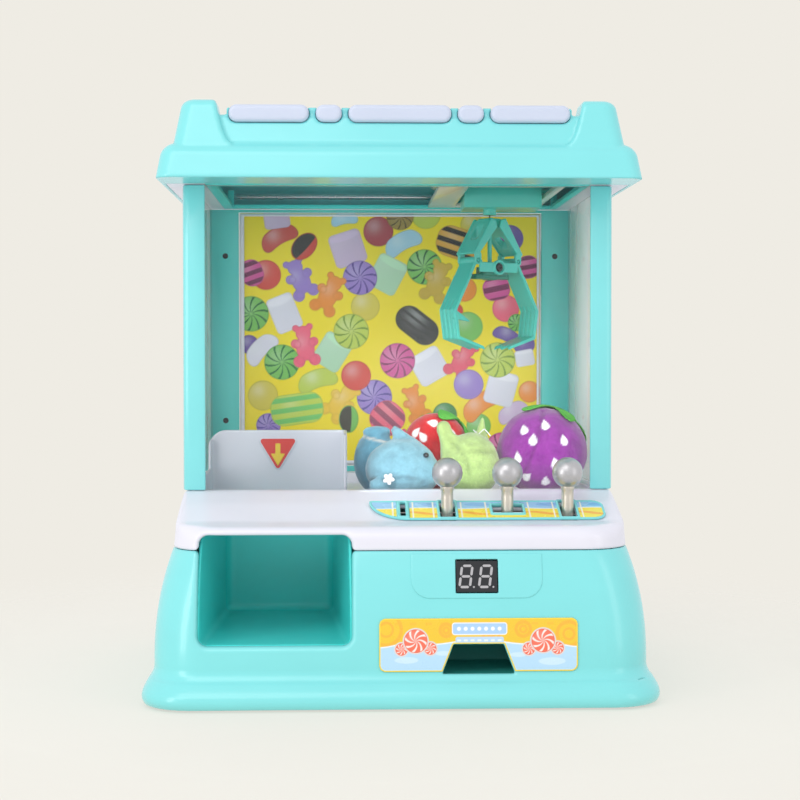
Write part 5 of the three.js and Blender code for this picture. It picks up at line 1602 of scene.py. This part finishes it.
def paint(points, base, *layers):
    """Base colour with layers of (distance, colour); negative distance is covered."""
    ink = np.tile(linear(base), (len(points), 1))
    for distance, colour in layers:
        cover = np.clip(0.5 - distance / 0.7, 0, 1)[:, None]
        ink = ink * (1 - cover) + linear(colour) * cover
    return ink


def teardrops(points, middle, places, length, width):
    """Distance to seed patches: drops at places, pointed towards the top."""
    nearest = np.full(len(points), 1e9)
    for place, angle in places:
        normal = np.subtract(place, middle)
        normal = normal / np.linalg.norm(normal)
        side = np.cross(normal, (0.02, 0.01, 1))
        side = side / np.linalg.norm(side)
        up = np.cross(side, normal) * math.cos(angle) + side * math.sin(angle)
        side = np.cross(normal, up)
        gap = points - np.array(place)
        along, across, off = gap @ up, gap @ side, np.abs(gap @ normal)
        t = np.clip(along / length + 0.5, 0, 1)
        half = width / 2 * np.sin(math.pi * t**0.62)
        drop = np.maximum(np.abs(across) - half, np.abs(along) - length / 2)
        nearest = np.minimum(nearest, np.where(off < 6, drop, 1e9))
    return nearest


def on_surface(middle, radii, place):
    """The place moved on to an ellipsoid along the line from its middle."""
    away = np.subtract(place, middle)
    return middle + away / math.sqrt(((away / radii) ** 2).sum())


def seed_ring(middle, radii, tilt, count, phase):
    """Seeds evenly round a ring: tilt is the height angle above the middle."""
    for step in range(count):
        angle = phase + 2 * math.pi * step / count
        flat = math.cos(tilt)
        away = np.array((flat * math.cos(angle), flat * math.sin(angle), math.sin(tilt)))
        yield on_surface(middle, radii, middle + away * radii), 0.0


def seed_places(middle, radii, shown, in_front, rings, phase, behind):
    """Seeds as (place, turn): those that the photo shows as (x, z, turn), then rings on the rear half."""
    seeds = [(on_surface(middle, radii, (x, middle[1] - in_front, z)), turn) for x, z, turn in shown]
    for tilt, count in rings:
        ring = seed_ring(middle, radii, tilt, count * 2, phase)
        seeds += [seed for seed in ring if seed[0][1] > middle[1] + behind]
    return seeds


def calyx(name, middle, radii, crown, near, far, slot, turn, thick):
    """Five felt leaves that lie on a berry, pointing away from the crown direction."""
    crown = np.array(crown, float) / np.linalg.norm(crown)
    first = np.cross(crown, (0.1, 1, 0.05))
    first /= np.linalg.norm(first)
    second = np.cross(crown, first)

    def field(x, y, z):
        reach = [x - middle[0], y - middle[1], z - middle[2]]
        size = np.sqrt(sum((r / s) ** 2 for r, s in zip(reach, radii)))
        mean = radii.mean()
        length = np.sqrt(sum(r * r for r in reach)) + 1e-9
        along = sum(r * c for r, c in zip(reach, crown)) / length
        u = sum(r * c for r, c in zip(reach, first))
        v = sum(r * c for r, c in zip(reach, second))
        spread = np.arccos(np.clip(along, -1, 1)) * mean
        turn_angle = np.arctan2(v, u) + turn
        petal = np.abs(np.cos(turn_angle * LEAVES / 2)) ** 1.5
        edge = near + (far - near) * petal
        curl = 0.8 * (spread / far) ** 3
        offset = (size - 1) * mean - LEAF_LIFT - curl
        return both(np.abs(offset) - thick / 2, (spread - edge) * 0.5, 0.3)

    reach = radii.max() + 6
    leaves = moulded(name, field, middle - reach, middle + reach, 0.95)
    settle_in(leaves, "cabinet", slot, felt_green)


LEAVES, LEAF_LIFT = 5, 0.9
FLOOR = span("purple_berry_plush")[0][2]
SOLE = FLOOR + 0.6  # the prizes are cut flat here
PURPLE_MIDDLE, PURPLE_RADII = np.array((96, -9, FLOOR + 29.5)), np.array((30.2, 26.6, 29.3))
RED_MIDDLE, RED_RADII = np.array((26.5, 5, FLOOR + 29)), np.array((23, 17.4, 26))
GREEN_EAR = ((35.5, -22, FLOOR + 28), (31, -22, FLOOR + 45))
FISH_ROOM = ((3, -20, FLOOR + 20), (25.2, 19.6, 21.2))  # what the fish presses into its neighbours
PURPLE_SEEDS = [(77.6, 165.4, 0.5), (95.5, 167.5, 0.2), (87.3, 154.6, 0), (108.4, 154.5, 0.1),
                (101.4, 139.2, 0.3), (80.7, 125.5, -0.9), (74.5, 142, 0.1), (116, 135, 0), (96, 124, 0.1)]
RED_SEEDS = [(23.4, 166.5, 1.5), (17.9, 154.4, 0.8), (36, 157, 0.2), (10, 161, -0.4), (30, 148, 0.3)]


def build_purple():
    """Purple berry with white seed patches and felt leaves."""
    middle, radii = PURPLE_MIDDLE, PURPLE_RADII

    def field(x, y, z):
        return np.maximum(ellipsoid(x, y, z, middle, radii - 1.4), SOLE - z)

    rings = ((0.75, 4), (0.15, 6), (-0.45, 5))
    seeds = seed_places(middle, radii, PURPLE_SEEDS, 24, rings, 0.3, 0)
    seam = []
    for angle in np.linspace(-1.3, 1.2, 12):
        away = np.array((math.sin(angle) * 0.35 - 0.35, -math.cos(angle), math.sin(angle)))
        seam.append(on_surface(middle, radii, middle + radii * away))

    def colours(points):
        dyed = paint(points, (146, 54, 152), (teardrops(points, middle, seeds, 7.8, 5.4), (250, 246, 250)))
        # Painted shade: the berry is darkened by up to a quarter towards the floor.
        low = np.clip((FLOOR + 22 - points[:, 2]) / 30, 0, 1)[:, None]
        return dyed * (1 - 0.25 * low)

    plush("purple_berry", "purple_berry_plush", "purple_plush", field, middle - radii, middle + radii,
          colours, 3, 4.2, [seam])
    calyx("purple_berry_leaves", middle, radii, (0.3, 0.42, 0.9), 11, 29, "purple_plush", 0.5, 1.0)


def build_red():
    """Red berry, pressed in by its neighbours."""
    low, high = span("red_berry_plush")
    middle, radii = RED_MIDDLE, RED_RADII
    low, high = np.minimum(low, middle - radii), np.maximum(high, middle + radii)

    def field(x, y, z):
        berry = ellipsoid(x, y, z, middle, radii - 1.2)
        others = np.minimum(ellipsoid(x, y, z, (3, -20, FLOOR + 20), (25.5, 20, 21.5)),
                            ellipsoid(x, y, z, (48, -21, FLOOR + 22), (20.5, 19, 23.5)))
        others = np.minimum(others, segment(x, y, z, *GREEN_EAR, 6.8, 5.8))
        return np.maximum(both(berry, -others, 3), SOLE - z)

    seeds = seed_places(middle, radii, RED_SEEDS, 12, ((0.7, 5), (0.1, 6)), 0.2, 2)

    def colours(points):
        return paint(points, (206, 32, 38), (teardrops(points, middle, seeds, 7.4, 5.0), (250, 246, 246)))

    plush("red_berry", "red_berry_plush", "red_plush", field, low, high, colours, 5, 3.6)
    calyx("red_berry_leaves", middle, radii, (0.6, 0.5, 0.75), 9, 24, "red_plush", 0.2, 1.3)


def build_green():
    """Pale green stuffed form with two ears, seams and the thread of a hang tag."""
    low, high = span("green_plush")

    def field(x, y, z):
        body = ellipsoid(x, y, z, (48, -21, FLOOR + 21), (18.2, 16.6, 20.6))
        ear = segment(x, y, z, *GREEN_EAR, 5.6, 4.6)
        other = segment(x, y, z, (54.5, -15, FLOOR + 34), (56, -14, FLOOR + 49.2), 5.2, 1.6)
        whole = either(either(body, ear, 5), other, 3)
        berry = ellipsoid(x, y, z, PURPLE_MIDDLE, (31.6, 28.2, 30.8))
        fish = ellipsoid(x, y, z, *FISH_ROOM)
        return np.maximum(both(whole, -np.minimum(berry, fish), 2), SOLE - z)

    seams = [[(47, -38, FLOOR + 4), (46, -39, FLOOR + 14), (44, -38, FLOOR + 25), (38, -33, FLOOR + 36)],
             [(30, -27, FLOOR + 50), (34, -27.5, FLOOR + 38), (40, -33, FLOOR + 30), (52, -36, FLOOR + 31),
              (63, -30, FLOOR + 30)]]

    def colours(points):
        base = paint(points, (178, 202, 126))
        # Painted shade: darker and greener towards the floor.
        shade_near_floor = np.clip((FLOOR + 30 - points[:, 2]) / 26, 0, 1)[:, None]
        return base * (1 - shade_near_floor * np.array((0.22, 0.14, 0.26)))

    plush("green_fruit", "green_plush", "green_plush", field, low, high, colours, 8, 2.6, seams)
    thread = [(50, -17, FLOOR + 44), (53, -19, FLOOR + 41), (57, -20, FLOOR + 45), (61, -21, FLOOR + 40)]
    stitch = looped_thread("green_hang_tag_thread", thread, 0.35)
    settle_in(stitch, "cabinet", "green_plush", felt_white)


def looped_thread(name, places, radius):
    """A thin thread on a smooth line through places."""
    places = np.array(places, float)
    fine = np.linspace(0, len(places) - 1, 40)
    line = np.stack([np.interp(fine, range(len(places)), places[:, axis]) for axis in range(3)], 1)
    for _ in range(6):
        line[1:-1] = (line[:-2] + 2 * line[1:-1] + line[2:]) / 4
    around = np.linspace(0, 2 * math.pi, 9)[:-1]
    along = np.gradient(line, axis=0)
    along /= np.linalg.norm(along, axis=1)[:, None]
    side = np.cross(along, (0.1, 0.2, 1))
    side /= np.linalg.norm(side, axis=1)[:, None]
    other = np.cross(along, side)
    rings = line[:, None] + radius * (side[:, None] * np.cos(around)[None, :, None]
                                      + other[:, None] * np.sin(around)[None, :, None])
    points = rings.reshape(-1, 3)
    faces = []
    for row in range(len(line) - 1):
        for i in range(8):
            j = (i + 1) % 8
            faces.append((row * 8 + i, row * 8 + j, row * 8 + 8 + j, row * 8 + 8 + i))
    faces.append(tuple(range(7, -1, -1)))
    faces.append(tuple(range(len(points) - 8, len(points))))
    return mesh_object(name, points, faces)


def build_blue():
    """Blue fish with a snout, an ear, a fin, a bead eye and a felt flower."""
    low, high = span("blue_plush")
    high = np.maximum(high, (0, 0, FLOOR + 48))
    centre = (3, -20, FLOOR + 19)

    def field(x, y, z):
        body = ellipsoid(x, y, z, centre, (22.8, 17.4, 18.8))
        snout = ellipsoid(x, y, z, (19, -25, FLOOR + 15), (7, 8, 9))
        ear = segment(x, y, z, (8, -18, FLOOR + 33), (-1, -17, FLOOR + 43), 6.2, 3.2)
        ear = np.maximum(ear, slab(y, -20.5, -15.4))
        fin = ellipsoid(x, y, z, (-12, -34, FLOOR + 9), (7, 3.6, 5))
        whole = either(either(either(body, snout, 5), ear, 3), fin, 2)
        return np.maximum(whole, SOLE - z)

    seams = [[(14, -36, FLOOR + 5), (17, -33, FLOOR + 15), (16, -31, FLOOR + 26), (10, -28, FLOOR + 34)],
             [(-19, -25, FLOOR + 12), (-8, -37, FLOOR + 13), (4, -38, FLOOR + 14), (16, -33, FLOOR + 12)]]

    def colours(points):
        eye = np.linalg.norm(points - np.array((18.5, -33, FLOOR + 29.5)), axis=1) - 1.8
        shade = np.clip((FLOOR + 14 - points[:, 2]) / 22, 0, 1)[:, None]
        return paint(points, (130, 180, 196), (eye, (30, 34, 44))) * (1 - 0.2 * shade)

    plush("blue_fish", "blue_plush", "blue_plush", field, low, high, colours, 11, 2.6, seams)
    bead = turned("blue_fish_eye", [(0, -2.1), (1.2, -1.6), (1.7, -0.6), (1.7, 0.8), (0, 0.8)],
                  (18.4, -32.2, FLOOR + 28.4), 20, "y")
    settle_in(bead, "cabinet", "black_plastic", black)
    build_flower(-6, -38.2, FLOOR + 13.5)


def build_flower(x0, y0, z0):
    """A small sewn flower: one sheet of felt with five rippled petals."""

    def field(x, y, z):
        u, v = x - x0, z - z0
        reach = np.hypot(u, v)
        petals = 2.4 + 1.5 * np.abs(np.cos(np.arctan2(v, u) * 2.5 + 0.4))
        ripple = 0.35 * np.cos(np.arctan2(v, u) * 5 + 0.8)
        sheet = np.abs(y - y0 - 0.12 * reach + ripple) - 0.5
        return both(sheet, (reach - petals) * 0.8, 0.3)

    low, high = (x0 - 5, y0 - 2.2, z0 - 5), (x0 + 5, y0 + 3, z0 + 5)
    flower = moulded("blue_fish_rosette", field, low, high, 0.42)
    settle_in(flower, "cabinet", "blue_plush", felt_white)


def build_rear_blue():
    """Blue stuffed form behind the fish, with one pale band."""
    low, high = span("blue_plush_rear")

    def field(x, y, z):
        body = ellipsoid(x, y, z, (-13, 24, FLOOR + 21), (14.4, 14, 20.6))
        ear = ellipsoid(x, y, z, (-12, 21, FLOOR + 41), (10, 6, 3.4))
        red = ellipsoid(x, y, z, (26, 5, FLOOR + 26), (21.6, 18.2, 27))
        other = np.minimum(ellipsoid(x, y, z, *FISH_ROOM), red)
        return np.maximum(both(either(body, ear, 3), -other, 2), SOLE - z)

    def colours(points):
        band = np.abs(points[:, 2] - FLOOR - 36 + 0.25 * (points[:, 0] + 13)) - 0.8
        return paint(points, (120, 184, 208), (band, (236, 236, 228)))

    plush("blue_fish_rear", "blue_plush_rear", "blue_plush", field, low, high, colours, 13, 2.8)


# ------------------------------------------------------------------ build, camera and light
for material, bevel, pieces in DRESSED:
    for piece in pieces:
        dress(piece, material, bevel)
build_base()
build_deck()
build_cabinet()
build_roof()
build_string()
build_claw()
build_purple()
build_red()
build_green()
build_blue()
build_rear_blue()

camera_data = bpy.data.cameras.new("camera")
camera = bpy.data.objects.new("camera", camera_data)
bpy.context.scene.collection.objects.link(camera)
camera.location = (-0.0347, -1.1109, 0.2061)  # metres
camera.rotation_euler = (math.pi / 2 - 0.0243, 0.0007, -0.0336)
camera_data.lens = 75.5
camera_data.sensor_width = 36
bpy.context.scene.camera = camera
bpy.context.scene.view_settings.view_transform = "Standard"

BACKGROUND = linear((239, 236, 228))
world = bpy.data.worlds.new("room")
bpy.context.scene.world = world
world.use_nodes = True
nodes, links = world.node_tree.nodes, world.node_tree.links
soft = nodes["Background"]
soft.inputs["Color"].default_value = (0.97, 0.98, 1, 1)
soft.inputs["Strength"].default_value = 0.92
seen = nodes.new("ShaderNodeBackground")
seen.inputs["Color"].default_value = (*BACKGROUND, 1)
ray = nodes.new("ShaderNodeLightPath")
pick = nodes.new("ShaderNodeMixShader")
links.new(ray.outputs["Is Camera Ray"], pick.inputs[0])
links.new(soft.outputs[0], pick.inputs[1])
links.new(seen.outputs[0], pick.inputs[2])
links.new(pick.outputs[0], nodes["World Output"].inputs["Surface"])


def pale_floor():
    """Plain pale ground that fades into the background."""
    made = Finish("pale_floor", Specular_IOR_Level=0.1, Emission_Strength=0.62)
    made.shader.inputs["Emission Color"].default_value = (*BACKGROUND, 1)
    base = linear((236, 233, 225)) * 0.4
    made.colour(made.mix(made.ramp(made.noise(60), 0, 1), tuple(base * 0.995), tuple(base)))
    made.roughness(made.ramp(made.noise(40), 0.85, 0.95))
    reach = made.node("ShaderNodeVectorMath", {0: made.place}, operation="LENGTH").outputs["Value"]
    fade = made.ramp(reach, 1, 0, 0.3, 0.6)
    clear_part = made.node("ShaderNodeBsdfTransparent")
    blend = made.node("ShaderNodeMixShader", {0: fade, 1: clear_part.outputs[0], 2: made.shader.outputs[0]})
    made.tree.links.new(blend.outputs[0], made.tree.nodes["Material Output"].inputs["Surface"])
    return made.material


def softbox(name, place, toward, width, height, power):
    """A rectangular area light that the camera does not see."""
    data = bpy.data.lights.new(name, "AREA")
    data.shape = "RECTANGLE"
    data.size, data.size_y = width, height
    data.energy = power
    made = bpy.data.objects.new(name, data)
    bpy.context.scene.collection.objects.link(made)
    made.location = place
    made.rotation_euler = (Vector(toward) - Vector(place)).to_track_quat("-Z", "Y").to_euler()
    made.visible_camera = False
    return made


MIDDLE = (0, 0, 0.16)  # what the lights look at, in metres
softbox("key", (-0.55, -1.4, 1.4), MIDDLE, 1.2, 1.0, 7.6)
softbox("left_strip", (-0.95, -0.9, 0.35), MIDDLE, 0.3, 0.9, 3.4)
softbox("right_strip", (0.95, -0.9, 0.35), MIDDLE, 0.3, 0.9, 1.2)
fill = softbox("window_fill", (0.05, -0.0437, 0.165), (0, 1, 0.03), 0.15, 0.1, 0.05)
fill.data.spread = math.radians(110)

FLOOR_RADIUS, FLOOR_STEPS = 700, 64
rim = [(FLOOR_RADIUS * math.cos(a), FLOOR_RADIUS * math.sin(a), 0)
       for a in np.arange(FLOOR_STEPS) * 2 * np.pi / FLOOR_STEPS]
floor = mesh_object("floor_disc", rim, [range(FLOOR_STEPS)], smooth=False)
floor.data.materials.append(pale_floor())
